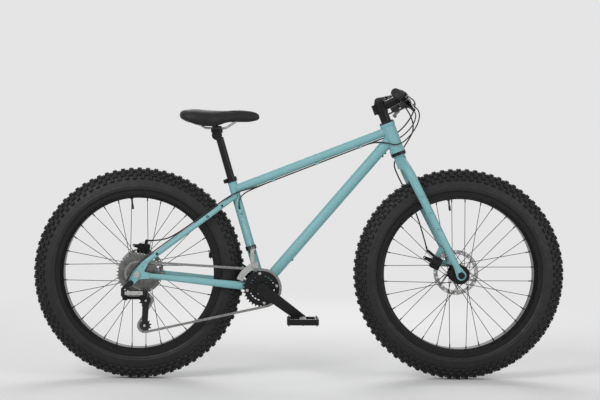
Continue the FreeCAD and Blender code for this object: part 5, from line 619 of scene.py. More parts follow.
class BIKE_OT_cables(bpy.types.Operator):
    """Make the cable housings, which follow the routes on frame, fork and bar"""
    bl_idname = "bike.cables"
    bl_label = "Cables"

    def execute(self, context):
        sizes = context.scene.bike_sizes
        for name, (body, length, size, points) in CABLE_ROUTES.items():
            diameter = getattr(sizes, size)
            node = CABLE_NODES[body]
            path = None
            if body == "loop":
                item = dress(tube_mesh(name, points, diameter), "housing_black", replaces=(node,))
                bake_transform(item)
                path = route_points(points)
            else:
                curve = route_curve(name, points, diameter)
                item = dress(bpy.data.objects.new(name, curve), "housing_black", body, (node,))
            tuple(points[0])
        return {"FINISHED"}


# Tires

TIRE_CENTER = 0.3216
CASING_WALL = 0.0026
CASING_STEP = 9
CASING_STEPS = 9
CASING_INSIDE = 0.93
# Height of a block with its root as a share of what shows, width at its top, and its broken edge
KNOB_ROOT = 1.35
KNOB_TAPER = 0.8
KNOB_EDGE = 0.09
# Shares of a block's width that edge and slope of the recess in its top take up, and the recess's depth
RECESS_EDGE = 0.24
RECESS_SLOPE = 0.02
RECESS_DEPTH = 0.003
TREAD_ROWS = (
    # section angle in degrees, length round the tire, width across it, shift as a share of a pitch, recess
    (11, 0.0160, 0.0150, 0.0, False), (33, 0.0150, 0.0125, 0.5, False),
    (54, 0.0170, 0.0120, 0.0, True), (71, 0.0160, 0.0125, 0.5, True))
SIDEWALL = (
    # radius and side offset down the sidewall, with two moulded ribs
    (0.3180, 0.0434), (0.3120, 0.0446), (0.3060, 0.0452), (0.3045, 0.0458), (0.3030, 0.0449),
    (0.2990, 0.0441),
    (0.2975, 0.0445), (0.2960, 0.0434), (0.2935, 0.0422), (0.2915, 0.0408), (0.2895, 0.0383),
    (0.2810, 0.0381))


def casing_outline(sizes):
    """Closed section of the casing as (radius, side) points, from one bead to the other and back inside."""
    reach = sizes.tire_section - sizes.knob_height
    half = []
    for step in range(CASING_STEPS):
        turn = math.radians(CASING_STEP * step)
        half.append((TIRE_CENTER + reach * math.cos(turn), reach * math.sin(turn)))
    half += SIDEWALL
    outer = [(radius, -side) for radius, side in reversed(half)] + half[1:]
    inner = [(radius - CASING_WALL if radius > TIRE_CENTER else radius, side * CASING_INSIDE)
             for radius, side in reversed(outer)]
    return outer + inner


def tread_knob(length, width, height, recessed):
    """Tapered block with its top at the origin and its root below."""
    bm = bmesh.new()
    for vert in bmesh.ops.create_cube(bm, size=1)["verts"]:
        taper = KNOB_TAPER if vert.co.z > 0 else 1.0
        vert.co = Vector((vert.co.x * length * taper, vert.co.y * width * taper,
                          (vert.co.z - 0.5) * height))
    top = max(bm.faces, key=lambda face: face.calc_center_median().z)
    break_edges(bm, top.edges[:], length * KNOB_EDGE, 1)
    if recessed:
        top = max(bm.faces, key=lambda face: face.calc_center_median().z)
        bmesh.ops.inset_region(bm, faces=[top], thickness=width * RECESS_EDGE, depth=0)
        bmesh.ops.inset_region(bm, faces=[top], thickness=width * RECESS_SLOPE, depth=-RECESS_DEPTH)
    return bm


def knob_row(sizes, axle, side, angle, length, width, shift, recessed):
    """One row of tread blocks round a tire, on one side of its middle."""
    knob = tread_knob(length, width, sizes.knob_height * KNOB_ROOT, recessed)
    lean = Matrix.Rotation(-side * math.radians(angle), 4, "X")
    rise = Matrix.Translation((0, 0, TIRE_CENTER)) @ lean @ Matrix.Translation((0, 0, sizes.tire_section))
    around = Matrix.Rotation(2 * math.pi * shift / sizes.knob_pitches, 4, "Y")
    bmesh.ops.transform(knob, matrix=Matrix.Translation(axle) @ around @ rise, verts=knob.verts[:])
    copies_round(knob, knob.verts[:] + knob.edges[:] + knob.faces[:], axle, sizes.knob_pitches)
    return knob


class BIKE_OT_tires(bpy.types.Operator):
    """Make both tires: a casing with moulded ribs and rows of tread blocks"""
    bl_idname = "bike.tires"
    bl_label = "Tires"

    def execute(self, context):
        sizes = context.scene.bike_sizes
        for name, axle in WHEELS.items():
            bm = bmesh.new()
            spun(bm, casing_outline(sizes), facing(axle, ACROSS, UP), 2 * sizes.knob_pitches, closed=True)
            for row in TREAD_ROWS:
                for side in SIDES:
                    join(bm, knob_row(sizes, axle, side, *row))
            new_piece(f"{name}_tire_tread", bm, "tire_rubber", f"{name}_wheel", (f"{name}_tire",), sharp=30)
        return {"FINISHED"}


# Grips

GRIP_LENGTH = 0.128
# Heading and end of the bar's left half
BAR_HEADING = Vector((-0.1908, 0.9816, 0))
BAR_END = Vector((0.3066, 0.3550, 0.9912))
BAR_RADIUS = 0.0111
# Outlines of a grip as (radius, height): its flange, one rib in shares of the pitch, and its closed end
GRIP_FLANGE = (
    (BAR_RADIUS, 0), (0.0168, 0), (0.0175, 0.0008), (0.0175, 0.0032), (0.0168, 0.004), (0.0152, 0.0055))
GRIP_RIB = ((0.0143, 0), (0.0153, 0.2), (0.0155, 0.4), (0.0153, 0.6), (0.0143, 0.8))
GRIP_END = (
    (0.0155, -0.003), (0.0155, 0.001), (0.0147, 0.0026), (0.0135, 0.003), (0.006, 0.003), (0.005, 0.002),
    (0, 0.002))
# Where the ribs start, and how far short of the grip's end they stop
RIBS_START = 0.008
RIBS_SHORT = 0.006
GRIP_TURNS = 40


def grip_outline(sizes):
    """Outline of a grip from its inner flange to its closed end, as (radius, height)."""
    outline = list(GRIP_FLANGE)
    along = RIBS_START
    while along < GRIP_LENGTH - RIBS_SHORT:
        outline += [(radius, along + share * sizes.rib_pitch) for radius, share in GRIP_RIB]
        along += sizes.rib_pitch
    return outline + [(radius, GRIP_LENGTH + height) for radius, height in GRIP_END]


class BIKE_OT_grips(bpy.types.Operator):
    """Make the ribbed grips on the ends of the bar"""
    bl_idname = "bike.grips"
    bl_label = "Grips"

    def execute(self, context):
        bm = bmesh.new()
        for side in SIDES:
            heading = mirrored(BAR_HEADING, side)
            place = facing(mirrored(BAR_END, side) - heading * GRIP_LENGTH, heading, UP)
            spun(bm, grip_outline(context.scene.bike_sizes), place, GRIP_TURNS)
        bmesh.ops.remove_doubles(bm, verts=bm.verts[:], dist=1e-6)
        new_piece("ribbed_grips", bm, "grip_rubber", "fork", ("grips",), sharp=50)
        return {"FINISHED"}


# Saddle

SADDLE_LENGTH = 0.280
SADDLE_WIDTH = 0.146
SADDLE_HEIGHT = 0.066
SADDLE_TAIL = TILT_CENTER.x - 0.128
RAIL_HEIGHT = TILT_CENTER.z + 0.024
# Share of the length from the tail, then half width, crown and skirt as shares of width and height
SADDLE_FORM = (
    (-0.018, 0.50, 0.88, 0.50), (0.05, 0.84, 1.00, 0.36), (0.20, 0.99, 1.00, 0.10),
    (0.38, 0.86, 0.93, 0.04),
    (0.50, 0.64, 0.91, 0.14), (0.61, 0.45, 0.92, 0.38), (0.77, 0.31, 0.96, 0.37), (0.93, 0.25, 0.92, 0.38),
    (1.00, 0.13, 0.76, 0.48))
SADDLE_RING = 20
# Lowest point of a round ring that still belongs to the crown
CROWN_EDGE = -0.01
# Underside over the rails, widest line over it, roundness of side and crown, spread of the underside
SADDLE_UNDERSIDE = 0.36
SADDLE_WAIST = 0.25
SIDE_ROUND = 0.85
CROWN_ROUND = 0.9
UNDERSIDE_SPREAD = 1.5
# Where on the ring each point of the skirt lies, how far in and how deep
SKIRT_POINTS = ((0.4, 0.97, 0.6), (0.65, 0.86, 1.0), (0.85, 0.70, 0.85))


def saddle_ring(bm, share, half, top, skirt):
    """Ring of a saddle section: crowned on top, with a skirt down each side and a hollow between them."""
    center = Vector((SADDLE_TAIL + share * SADDLE_LENGTH, 0, 0))
    made = bmesh.ops.create_circle(bm, cap_ends=False, radius=1, segments=SADDLE_RING,
                                   matrix=facing(center, AHEAD, ACROSS))
    high = RAIL_HEIGHT + top * SADDLE_HEIGHT
    low = RAIL_HEIGHT + skirt * SADDLE_HEIGHT
    under = RAIL_HEIGHT + max(skirt, SADDLE_UNDERSIDE) * SADDLE_HEIGHT
    waist = under + SADDLE_WAIST * (high - under)
    wide = half * SADDLE_WIDTH / 2
    for vert in made["verts"]:
        across, rise = vert.co.y, vert.co.z
        if rise >= CROWN_EDGE:
            vert.co.y = wide * math.copysign(abs(across) ** SIDE_ROUND, across)
            vert.co.z = waist + (high - waist) * abs(rise) ** CROWN_ROUND
            continue
        place = next((point for point in SKIRT_POINTS if abs(rise) < point[0]), None)
        if place:
            vert.co.y = math.copysign(wide * place[1], across)
            vert.co.z = waist - (waist - low) * place[2]
        else:
            vert.co.y = wide * across * UNDERSIDE_SPREAD
            vert.co.z = under
    return made["verts"]


# Size of the foam's mesh, its pressure, the frames it swells for and how far it may go
FOAM_MESH = 0.004
FOAM_PRESSURE = 4
FOAM_FRAMES = 12
SWELL_LIMIT = 0.0025


def apply_modifiers(item):
    """Make what the modifiers show the object's own mesh."""
    mesh = shown_mesh(item)
    item.modifiers.clear()
    item.data = mesh


def subdivide(item, levels):
    finer = item.modifiers.new("finer", "SUBSURF")
    finer.levels = levels
    finer.render_levels = levels


def inflated(item):
    """Swell a closed cover with a little pressure, as foam does under its cloth."""
    remesh = item.modifiers.new("remesh", "REMESH")
    remesh.mode = "VOXEL"
    remesh.voxel_size = FOAM_MESH
    apply_modifiers(item)
    before = [vert.co.copy() for vert in item.data.vertices]
    cloth = item.modifiers.new("cloth", "CLOTH")
    cloth.settings.use_pressure = True
    cloth.settings.uniform_pressure_force = FOAM_PRESSURE
    cloth.settings.effector_weights.gravity = 0
    for step in range(1, FOAM_FRAMES + 1):
        bpy.context.scene.frame_set(step)
    apply_modifiers(item)
    bpy.context.scene.frame_set(1)
    for vert, start in zip(item.data.vertices, before):
        move = vert.co - start
        if move.length > SWELL_LIMIT:
            vert.co = start + move.normalized() * SWELL_LIMIT


class BIKE_OT_saddle(bpy.types.Operator):
    """Make the padded saddle cover"""
    bl_idname = "bike.saddle"
    bl_label = "Saddle"

    def execute(self, context):
        bm = bmesh.new()
        rings_made = [saddle_ring(bm, *form) for form in SADDLE_FORM]
        edges = [list({e for v in ring for e in v.link_edges}) for ring in rings_made]
        bmesh.ops.contextual_create(bm, geom=edges[0])
        bmesh.ops.contextual_create(bm, geom=edges[-1])
        for first, second in zip(edges, edges[1:]):
            bmesh.ops.bridge_loops(bm, edges=first + second)
        bmesh.ops.recalc_face_normals(bm, faces=bm.faces[:])
        cover = new_piece("saddle_cover_pad", bm, "saddle_cover", None, sharp=80)
        subdivide(cover, 2)
        apply_modifiers(cover)
        inflated(cover)
        subdivide(cover, 1)
        cover.data.shade_smooth()
        if not cover.data.materials:
            cover.data.materials.append(finish_for("saddle_cover"))
        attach(cover, "saddle")
        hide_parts("saddle")
        return {"FINISHED"}


# Welds

TOP_TUBE_RADIUS = 0.0151
DOWN_TUBE_RADIUS = 0.01905
SEAT_TUBE_RADIUS = 0.0159
HEAD_TUBE_RADIUS = 0.025
SHELL_RADIUS = 0.022
STAY_LINE = (STAY_FOOT - SEATSTAY_HEAD).normalized()
CHAINSTAY_LINE = (REAR_AXLE - BOTTOM_BRACKET).normalized()
HEAD_LINE = (HEAD_BOTTOM, STEER_UP, HEAD_TUBE_RADIUS)
SEAT_LINE = (BOTTOM_BRACKET, SEAT_RISE, SEAT_TUBE_RADIUS)
SHELL_LINE = (BOTTOM_BRACKET, ACROSS, SHELL_RADIUS)
CROWN_RADIUS = 0.0205
CROWN_LINE = (CROWN, STEER_UP, CROWN_RADIUS)
# Side of each stay's root, and distance along and to the side of its first bend
CHAINSTAY_ROOT = 0.036
CHAINSTAY_BEND = (0.112, 0.064)
CHAINSTAY_HALF = (0.015, 0.008)
SEATSTAY_ROOT = 0.012
SEATSTAY_BEND = (0.112, 0.066)
SEATSTAY_RADIUS = 0.009
# Distance along the fork leg's heading and to the side, for its root and its bend
LEG_ROOT = (0.020, 0.014)
LEG_BEND = (0.066, 0.080)
LEG_RADIUS = 0.0155
# Distance of the weld's ripples as a share of their radius
BEAD_SPACING = 1.15


def frame_welds():
    """Each welded tube end: its start, heading, half height, half width and the tube it meets."""
    top_run = TOP_TUBE_BACK - TOP_TUBE_FRONT
    down_run = BOTTOM_BRACKET - DOWN_TUBE_FRONT
    yield TOP_TUBE_FRONT, top_run, TOP_TUBE_RADIUS, TOP_TUBE_RADIUS, HEAD_LINE
    yield TOP_TUBE_BACK, -top_run, TOP_TUBE_RADIUS, TOP_TUBE_RADIUS, SEAT_LINE
    yield DOWN_TUBE_FRONT, down_run, DOWN_TUBE_RADIUS, DOWN_TUBE_RADIUS, HEAD_LINE
    yield BOTTOM_BRACKET, -down_run, DOWN_TUBE_RADIUS, DOWN_TUBE_RADIUS, SHELL_LINE
    yield BOTTOM_BRACKET, SEAT_RISE, SEAT_TUBE_RADIUS, SEAT_TUBE_RADIUS, SHELL_LINE
    for side in SIDES:
        root = BOTTOM_BRACKET + ACROSS * (side * CHAINSTAY_ROOT)
        bend = BOTTOM_BRACKET + CHAINSTAY_LINE * CHAINSTAY_BEND[0] + ACROSS * (side * CHAINSTAY_BEND[1])
        yield root, bend - root, *CHAINSTAY_HALF, SHELL_LINE
        root = SEATSTAY_HEAD + ACROSS * (side * SEATSTAY_ROOT)
        bend = SEATSTAY_HEAD + STAY_LINE * SEATSTAY_BEND[0] + ACROSS * (side * SEATSTAY_BEND[1])
        yield root, bend - root, SEATSTAY_RADIUS, SEATSTAY_RADIUS, SEAT_LINE


def fork_welds():
    """The two leg ends that meet the crown."""
    for side in SIDES:
        root, bend = [
            CROWN + LEG_HEADING * along + ACROSS * (side * out) for along, out in (LEG_ROOT, LEG_BEND)]
        yield root, bend - root, LEG_RADIUS, LEG_RADIUS, CROWN_LINE


def add_weld(bm, bead, start, heading, half_height, half_width, other):
    """Overlapping beads round the line where a tube's end meets another tube."""
    place = facing(start, heading, ACROSS)
    along = place.to_3x3() @ UP
    middle, axis, radius = other
    flat_along = along - axis * along.dot(axis)
    count = int(math.pi * (half_height + half_width) / (BEAD_SPACING * bead))
    for step in range(count):
        turn = 2 * math.pi * step / count
        edge = place @ Vector((half_width * math.cos(turn), half_height * math.sin(turn), 0))
        reach = edge - middle
        flat_reach = reach - axis * reach.dot(axis)
        slope = flat_reach.dot(flat_along)
        room = slope ** 2 - flat_along.length_squared * (flat_reach.length_squared - radius ** 2)
        spot = edge + along * ((math.sqrt(max(room, 0)) - slope) / flat_along.length_squared)
        bmesh.ops.create_uvsphere(bm, u_segments=8, v_segments=5, radius=bead, matrix=facing(spot, along))


class BIKE_OT_welds(bpy.types.Operator):
    """Make the rippled welds where the tubes of frame and fork meet"""
    bl_idname = "bike.welds"
    bl_label = "Welds"

    def execute(self, context):
        bead = context.scene.bike_sizes.weld_bead
        for name, body, joints in (("frame_weld_beads", "frame", frame_welds()),
                                   ("fork_weld_beads", "fork", fork_welds())):
            bm = bmesh.new()
            for joint in joints:
                add_weld(bm, bead, *joint)
            new_piece(name, bm, "frame_paint", body, sharp=180)
        return {"FINISHED"}


# Bolts

STEM_UP = Vector((-0.4540, 0, 0.8910))
DOWN_TUBE_LINE = (DOWN_TUBE_FRONT - BOTTOM_BRACKET).normalized()
DOWN_TUBE_UNDER = ACROSS.cross(DOWN_TUBE_LINE)
ROTOR_FACE = {"front": 0.0606, "rear": 0.0741}
CRANK_FACE = 0.113
LEVER_CLAMP = Vector((0.3337, 0.2156, 0.9912))
LEVER_FORWARD = Vector((0.7061, 0.1373, -0.6947))
SHIFTER_CLAMP = Vector((0.3421, 0.1724, 0.9912))
SHIFTER_DOWN = Vector((0.4608, 0.0896, -0.8829))
GUIDE_CENTER = Vector((-0.53346, -0.0738, 0.27902))
TENSION_CENTER = Vector((-0.53731, -0.0738, 0.19111))
# Places of the bosses along the seatstay, and how far out the stay's centre line is there
SEATSTAY_BOSSES = ((0.060, 0.0405), (0.122, 0.0640), (0.337, 0.0872))
# Radius and height of each kind of bolt head
PINCH_BOLT = (0.004, 0.0036)
PLATE_BOLT = (0.0032, 0.0056)
CAP_BOLT = (0.0052, 0.003)
LEVER_BOLT = (0.0036, 0.0034)
SHIFTER_BOLT = (0.0034, 0.0032)
BOSS_BOLT = (0.0046, 0.0042)
DOWN_TUBE_BOLT = (0.004, 0.0036)
HANGER_BOLT = (0.0058, 0.0026)
ROTOR_BOLT = (0.0044, 0.0024)
CRANK_BOLT = (0.0105, 0.0034)
PULLEY_BOLT = (0.0044, 0.0018)
RING_BOLT = (0.0052, 0.0012)
# Stem bolts: behind the steerer, apart and to the right; faceplate bolts: apart, ahead and to the side
PINCH_PLACE = (0.0245, 0.0105, 0.0108)
PLATE_PLACE = (0.0192, 0.0095, 0.0165)
CAP_RISE = 0.0808
CLAMP_REACH = 0.0150
BOSS_RISE = 0.0080
# Places of the bosses along the down tube, and how deep their bolts sit in it
DOWN_TUBE_BOSSES = (0.141, 0.626, 0.640)
BOSS_SINK = 0.0006
HANGER_PLACE = Vector((-0.0215, -0.1083, -0.030))
ROTOR_BOLTS = 6
ROTOR_BOLT_CIRCLE = 0.022
# How deep the crank bolts sit in their faces, and those of rotors and pulleys
CRANK_BOLT_SINK = 0.0022
SEAT_DEPTH = 0.0001


def fork_bolts():
    """Bolts that turn with the fork: stem, faceplate, top cap and control clamps."""
    behind, apart, right = PINCH_PLACE
    rise, ahead, out = PLATE_PLACE
    for way in (-1, 1):
        pinch = STEM_CENTER - STEER_AHEAD * behind + STEER_UP * (way * apart) - ACROSS * right
        yield pinch, -ACROSS, *PINCH_BOLT
        for side in SIDES:
            corner = BAR_CENTER + STEM_UP * (way * rise) + STEM_AXIS * ahead + ACROSS * (side * out)
            yield corner, STEM_AXIS, *PLATE_BOLT
    yield HEAD_TOP + STEER_UP * CAP_RISE, STEER_UP, *CAP_BOLT
    for side in SIDES:
        forward = mirrored(LEVER_FORWARD, side)
        yield mirrored(LEVER_CLAMP, side) - forward * CLAMP_REACH, -forward, *LEVER_BOLT
        down = mirrored(SHIFTER_DOWN, side)
        yield mirrored(SHIFTER_CLAMP, side) - down * CLAMP_REACH, -down, *SHIFTER_BOLT


def frame_bolts():
    """Bolts on the frame: seatstay bosses, down tube bosses and the derailleur hanger."""
    for side in SIDES:
        for along, out in SEATSTAY_BOSSES:
            spot = SEATSTAY_HEAD + STAY_LINE * along + ACROSS * (side * (out + BOSS_RISE))
            yield spot, ACROSS * side, *BOSS_BOLT
    for along in DOWN_TUBE_BOSSES:
        spot = BOTTOM_BRACKET + DOWN_TUBE_LINE * along + DOWN_TUBE_UNDER * (DOWN_TUBE_RADIUS - BOSS_SINK)
        yield spot, DOWN_TUBE_UNDER, *DOWN_TUBE_BOLT
    yield REAR_AXLE + HANGER_PLACE, -ACROSS, *HANGER_BOLT


def rotor_bolts(name, axle):
    for step in range(ROTOR_BOLTS):
        out = round_wheel(360 / ROTOR_BOLTS * (step + 0.5), ROTOR_BOLT_CIRCLE)
        yield axle + out + ACROSS * (ROTOR_FACE[name] - SEAT_DEPTH), ACROSS, *ROTOR_BOLT


def crank_bolts():
    for side in SIDES:
        yield BOTTOM_BRACKET + ACROSS * (side * (CRANK_FACE - CRANK_BOLT_SINK)), ACROSS * side, *CRANK_BOLT


def cage_bolts():
    for center in (GUIDE_CENTER, TENSION_CENTER):
        yield center + ACROSS * SEAT_DEPTH, -ACROSS, *PULLEY_BOLT


class BIKE_OT_bolts(bpy.types.Operator):
    """Make the socket head bolts"""
    bl_idname = "bike.bolts"
    bl_label = "Bolts"

    def execute(self, context):
        groups = [("control_bolts", "fork", "black_metal", fork_bolts()),
                  ("frame_boss_bolts", "frame", "black_metal", frame_bolts()),
                  ("crank_center_bolts", "crank", "black_aluminium", crank_bolts()),
                  ("pulley_bolts", "derailleur_cage", "bare_steel", cage_bolts())]
        for name, axle in WHEELS.items():
            groups.append((f"{name}_rotor_bolts", f"{name}_wheel", "bare_steel", rotor_bolts(name, axle)))
        for name, body, slot, bolts in groups:
            bolts_piece(name, slot, body, bolts)
        return {"FINISHED"}


# Inner tubes, valves, ferrules and chainring bolts

VALVE_ANGLES = {"rear": 96, "front": 97.6}
RIM_BED = 0.2635
VALVE_TIP = 0.2315
VALVE_RADIUS = 0.003
VALVE_NUT = (0.0058, 0.0045)
VALVE_CAP = (0.0041, 0.0165)
VALVE_CAP_GRIP = 0.009
VALVE_CAP_EDGE = 0.4
# How far the valve's root lies in the tube, and the nut in the rim's bed
VALVE_ROOT = 0.002
NUT_SEAT = 0.0002
# Section of an inner tube: radius of its middle, half its height and width, and its steps
TUBE_CENTER = 0.3170
TUBE_RISE = 0.0430
TUBE_REACH = 0.0385
TUBE_STEPS = 28
TUBE_TURNS = 96
FERRULE_WALL = 0.0008
FERRULE_LENGTH = 0.011
RING_BOLT_CIRCLE = 0.052
RING_BOLT_FACE = 0.0704
RING_BOLT_SEAT = 0.0002
RING_BOLTS = 4
CRANK_ANGLE = 36.2


def wheel_place(axle, radius, angle):
    """Placement on a wheel at a radius and an angle from straight ahead, own Z towards the axle."""
    outward = round_wheel(angle, 1)
    return facing(axle + outward * radius, -outward, ACROSS)


def ferrule_places():
    """Housing ends with their body, their heading into the housing and the housing's size."""
    for body, _, size, points in CABLE_ROUTES.values():
        first, second = Vector(points[0]), Vector(points[1])
        last, before = Vector(points[-1]), Vector(points[-2])
        if body != "frame":
            yield "fork", first, second - first, size
        if body != "loop":
            yield body, last, before - last, size


def ring_bolts():
    for step in range(RING_BOLTS):
        out = round_wheel(360 / RING_BOLTS * (step + 0.5) - CRANK_ANGLE, RING_BOLT_CIRCLE)
        yield BOTTOM_BRACKET + out - ACROSS * (RING_BOLT_FACE - RING_BOLT_SEAT), -ACROSS, *RING_BOLT


def tube_outline():
    """Section of an inner tube as (radius, side) points, in the rim's well and clear of the casing."""
    for step in range(TUBE_STEPS):
        turn = 2 * math.pi * step / TUBE_STEPS
        yield TUBE_CENTER + TUBE_RISE * math.cos(turn), TUBE_REACH * math.sin(turn)


class BIKE_OT_tubes(bpy.types.Operator):
    """Make the inner tubes with their valves, nuts and caps"""
    bl_idname = "bike.tubes"
    bl_label = "Inner tubes"

    def execute(self, context):
        for name, axle in WHEELS.items():
            angle = VALVE_ANGLES[name]
            bm = bmesh.new()
            spun(bm, list(tube_outline()), facing(axle, ACROSS, UP), TUBE_TURNS, closed=True)
            root = TUBE_CENTER - TUBE_RISE + VALVE_ROOT
            add_drum(bm, wheel_place(axle, root, angle), VALVE_RADIUS, root - VALVE_TIP)
            new_piece(f"{name}_tube_and_valve", bm, "tube_rubber", f"{name}_wheel", (f"{name}_inner_tube",))
            bm = bmesh.new()
            add_drum(bm, wheel_place(axle, RIM_BED + NUT_SEAT, angle), *VALVE_NUT, segments=6)
            add_drum(bm, wheel_place(axle, VALVE_TIP + VALVE_CAP_GRIP, angle), *VALVE_CAP,
                     edge=VALVE_CAP_EDGE)
            new_piece(f"{name}_valve_cap", bm, "black_plastic", f"{name}_wheel", sharp=30)
        return {"FINISHED"}


class BIKE_OT_fittings(bpy.types.Operator):
    """Make the housing ferrules and the chainring bolts"""
    bl_idname = "bike.fittings"
    bl_label = "Small fittings"

    def execute(self, context):
        for body in ("frame", "fork"):
            bm = bmesh.new()
            for holder, spot, heading, size in ferrule_places():
                if holder == body:
                    radius = getattr(context.scene.bike_sizes, size) / 2 + FERRULE_WALL
                    add_drum(bm, facing(spot, heading), radius, FERRULE_LENGTH)
            new_piece(f"{body}_cable_ferrules", bm, "black_metal", body, sharp=30)
        bolts_piece("chainring_bolts", "bare_steel", "crank", ring_bolts())
        return {"FINISHED"}


# Bare brake and shift wires

# Body that holds the housing, arm that the wire pulls, and the wire's two ends
BRAKE_WIRES = {
    "front_brake_wire": ("fork", "front_caliper_arm", (0.4621, 0.0899, 0.4520), (0.4537, 0.0899, 0.4217)),
    "rear_brake_wire": ("frame", "rear_caliper_arm", (-0.5393, 0.0984, 0.4776), (-0.5914, 0.0984, 0.4608)),
}
SHIFT_WIRE = ((-0.2044, -0.0194, 0.5819), (-0.1652, -0.0580, 0.4586))


def wire_mesh(name, start, end, diameter):
    """Straight wire between two points."""
    return tube_mesh(name, (start, (Vector(start) + Vector(end)) / 2, end), diameter)


class BIKE_OT_wires(bpy.types.Operator):
    """Make the bare wires between the housings and what they pull"""
    bl_idname = "bike.wires"
    bl_label = "Bare wires"

    def execute(self, context):
        wire = context.scene.bike_sizes.inner_wire
        for name, (body, arm, start, end) in BRAKE_WIRES.items():
            item = dress(wire_mesh(name, start, end, wire), "bare_steel")
            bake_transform(item)
        dress(wire_mesh("front_shift_wire", *SHIFT_WIRE, wire), "bare_steel", "frame")
        return {"FINISHED"}


# Finishes on the carried-over pieces

class BIKE_OT_finishes(bpy.types.Operator):
    """Give every carried-over piece of the bike its finish"""
    bl_idname = "bike.finishes"
    bl_label = "Finishes"

    def execute(self, context):
        colours = context.scene.bike_colours
        chosen = {}
        for slot, names in NODE_FINISHES.items():
            for name in names:
                chosen[name] = finish_for(slot)
        for name, (axle, tone) in TURNED_STEEL.items():
            chosen[name] = turned_steel_finish(f"{name}_finish", colours, axle, tone)
        for name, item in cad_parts.items():
            material = chosen.get(name)
            if material:
                item.data.materials.clear()
                item.data.materials.append(material)
        return {"FINISHED"}


# Stage

CAMERA_PLACE = Vector((-0.12, -5.0, 0.77))
CAMERA_ROLL = -0.25
CAMERA_LENS = 85
CAMERA_SHIFT = (0.058, -0.067)
FLOOR_SIZE = 14
ROOM_COLOUR = (0.78, 0.78, 0.78, 1)
ROOM_LIGHT = 0.55
FADE_RANGE = (1.3, 3.2)
# Place, size and power of each lamp, and the point that they all face
LAMPS = {
    "key_lamp": ((-2.6, -3.4, 3.2), 2.4, 120),
    "fill_lamp": ((3.2, -3.0, 1.8), 2.6, 45),
    "back_lamp": ((0.4, 3.2, 2.8), 2.6, 70),
}
LAMP_TARGET = Vector((0, 0, 0.45))


def seen_rays(tree):
    """One where a ray comes from the camera or from a metal or glass surface, otherwise zero."""
    paths = tree.nodes.new("ShaderNodeLightPath")
    found = paths.outputs["Is Camera Ray"]
    for ray in ("Is Glossy Ray", "Is Transmission Ray"):
        found = worked_out(tree, "MAXIMUM", found, paths.outputs[ray])
    return found


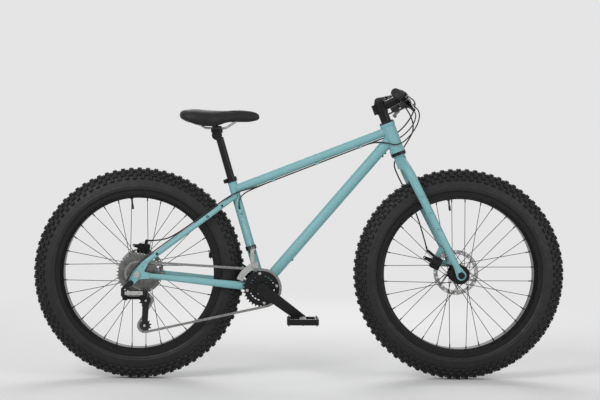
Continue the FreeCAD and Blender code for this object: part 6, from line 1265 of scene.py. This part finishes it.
class BIKE_OT_stage(bpy.types.Operator):
    """Set up the floor, the soft studio light and the camera"""
    bl_idname = "bike.stage"
    bl_label = "Stage"

    def execute(self, context):
        self.camera(context)
        self.floor(context)
        self.lights(context)
        context.scene.view_settings.view_transform = "Standard"
        return {"FINISHED"}

    def camera(self, context):
        """Camera level with the top tube, square to the bike's drive side."""
        data = bpy.data.cameras.new("photo_camera")
        data.sensor_width = 36
        data.lens = CAMERA_LENS
        data.shift_x, data.shift_y = CAMERA_SHIFT
        item = linked("photo_camera", data)
        item.location = CAMERA_PLACE
        item.rotation_euler = (math.radians(90), math.radians(CAMERA_ROLL), 0)
        context.scene.camera = item

    def floor(self, context):
        """Pale floor under the wheels."""
        bm = bmesh.new()
        bmesh.ops.create_grid(bm, x_segments=1, y_segments=1, size=FLOOR_SIZE)
        mesh = mesh_of("studio_floor", bm)
        material, tree, shader = new_finish("floor_finish", context.scene.bike_colours.floor, 0.85)
        vary_roughness(tree, shader, noise(tree, 3), 0.8, 0.9)
        self.fade(tree, shader)
        mesh.materials.append(material)
        item = linked("studio_floor", mesh)

    def fade(self, tree, shader):
        """Let the floor run into the pale room away from the bike, where it is seen directly or in metal."""
        away = tree.nodes.new("ShaderNodeVectorMath")
        away.operation = "LENGTH"
        tree.links.new(place_pattern(tree), away.inputs[0])
        far = between(tree, away.outputs["Value"], 0, 1, *FADE_RANGE)
        share = worked_out(tree, "MULTIPLY", far, seen_rays(tree))
        glow = tree.nodes.new("ShaderNodeEmission")
        glow.inputs["Color"].default_value = ROOM_COLOUR
        mix = tree.nodes.new("ShaderNodeMixShader")
        tree.links.new(share, mix.inputs[0])
        tree.links.new(shader.outputs["BSDF"], mix.inputs[1])
        tree.links.new(glow.outputs["Emission"], mix.inputs[2])
        tree.links.new(mix.outputs["Shader"], tree.nodes["Material Output"].inputs["Surface"])

    def lights(self, context):
        """Large soft lamps at the front left, front right and back, in a pale room."""
        for name, (place, size, power) in LAMPS.items():
            lamp = bpy.data.lights.new(name, "AREA")
            lamp.size = size
            lamp.energy = power
            item = linked(name, lamp)
            item.location = place
            item.rotation_euler = (LAMP_TARGET - Vector(place)).to_track_quat("-Z", "Y").to_euler()
        world = bpy.data.worlds.new("studio_room")
        context.scene.world = world
        world.use_nodes = True
        tree = world.node_tree
        room = tree.nodes["Background"]
        room.inputs["Color"].default_value = ROOM_COLOUR
        tree.links.new(between(tree, seen_rays(tree), ROOM_LIGHT, 1, 0, 1), room.inputs["Strength"])


# Sidebar

OPERATORS = (BIKE_OT_stage, BIKE_OT_cables, BIKE_OT_finishes, BIKE_OT_tires, BIKE_OT_grips, BIKE_OT_saddle,
             BIKE_OT_welds, BIKE_OT_bolts, BIKE_OT_tubes, BIKE_OT_fittings, BIKE_OT_wires)


class BIKE_PT_sidebar(bpy.types.Panel):
    """Lists the pieces, sizes and colours of the bike"""
    bl_idname = "BIKE_PT_sidebar"
    bl_label = "Fat tire bike"
    bl_space_type = "VIEW_3D"
    bl_region_type = "UI"
    bl_category = "Bike"

    def draw(self, context):
        for operator in OPERATORS:
            self.layout.operator(operator.bl_idname)
        for settings in (context.scene.bike_sizes, context.scene.bike_colours):
            for name in settings.__annotations__:
                self.layout.prop(settings, name)


CLASSES = (BikeSizes, BikeColours, *OPERATORS, BIKE_PT_sidebar)


def register():
    for item in CLASSES:
        bpy.utils.register_class(item)
    bpy.types.Scene.bike_sizes = PointerProperty(type=BikeSizes)
    bpy.types.Scene.bike_colours = PointerProperty(type=BikeColours)


def unregister():
    del bpy.types.Scene.bike_colours
    del bpy.types.Scene.bike_sizes
    for item in reversed(CLASSES):
        bpy.utils.unregister_class(item)


def main():
    register()
    for operator in OPERATORS:
        getattr(bpy.ops.bike, operator.bl_idname.split(".")[1])()


if __name__ == "__main__":
    main()
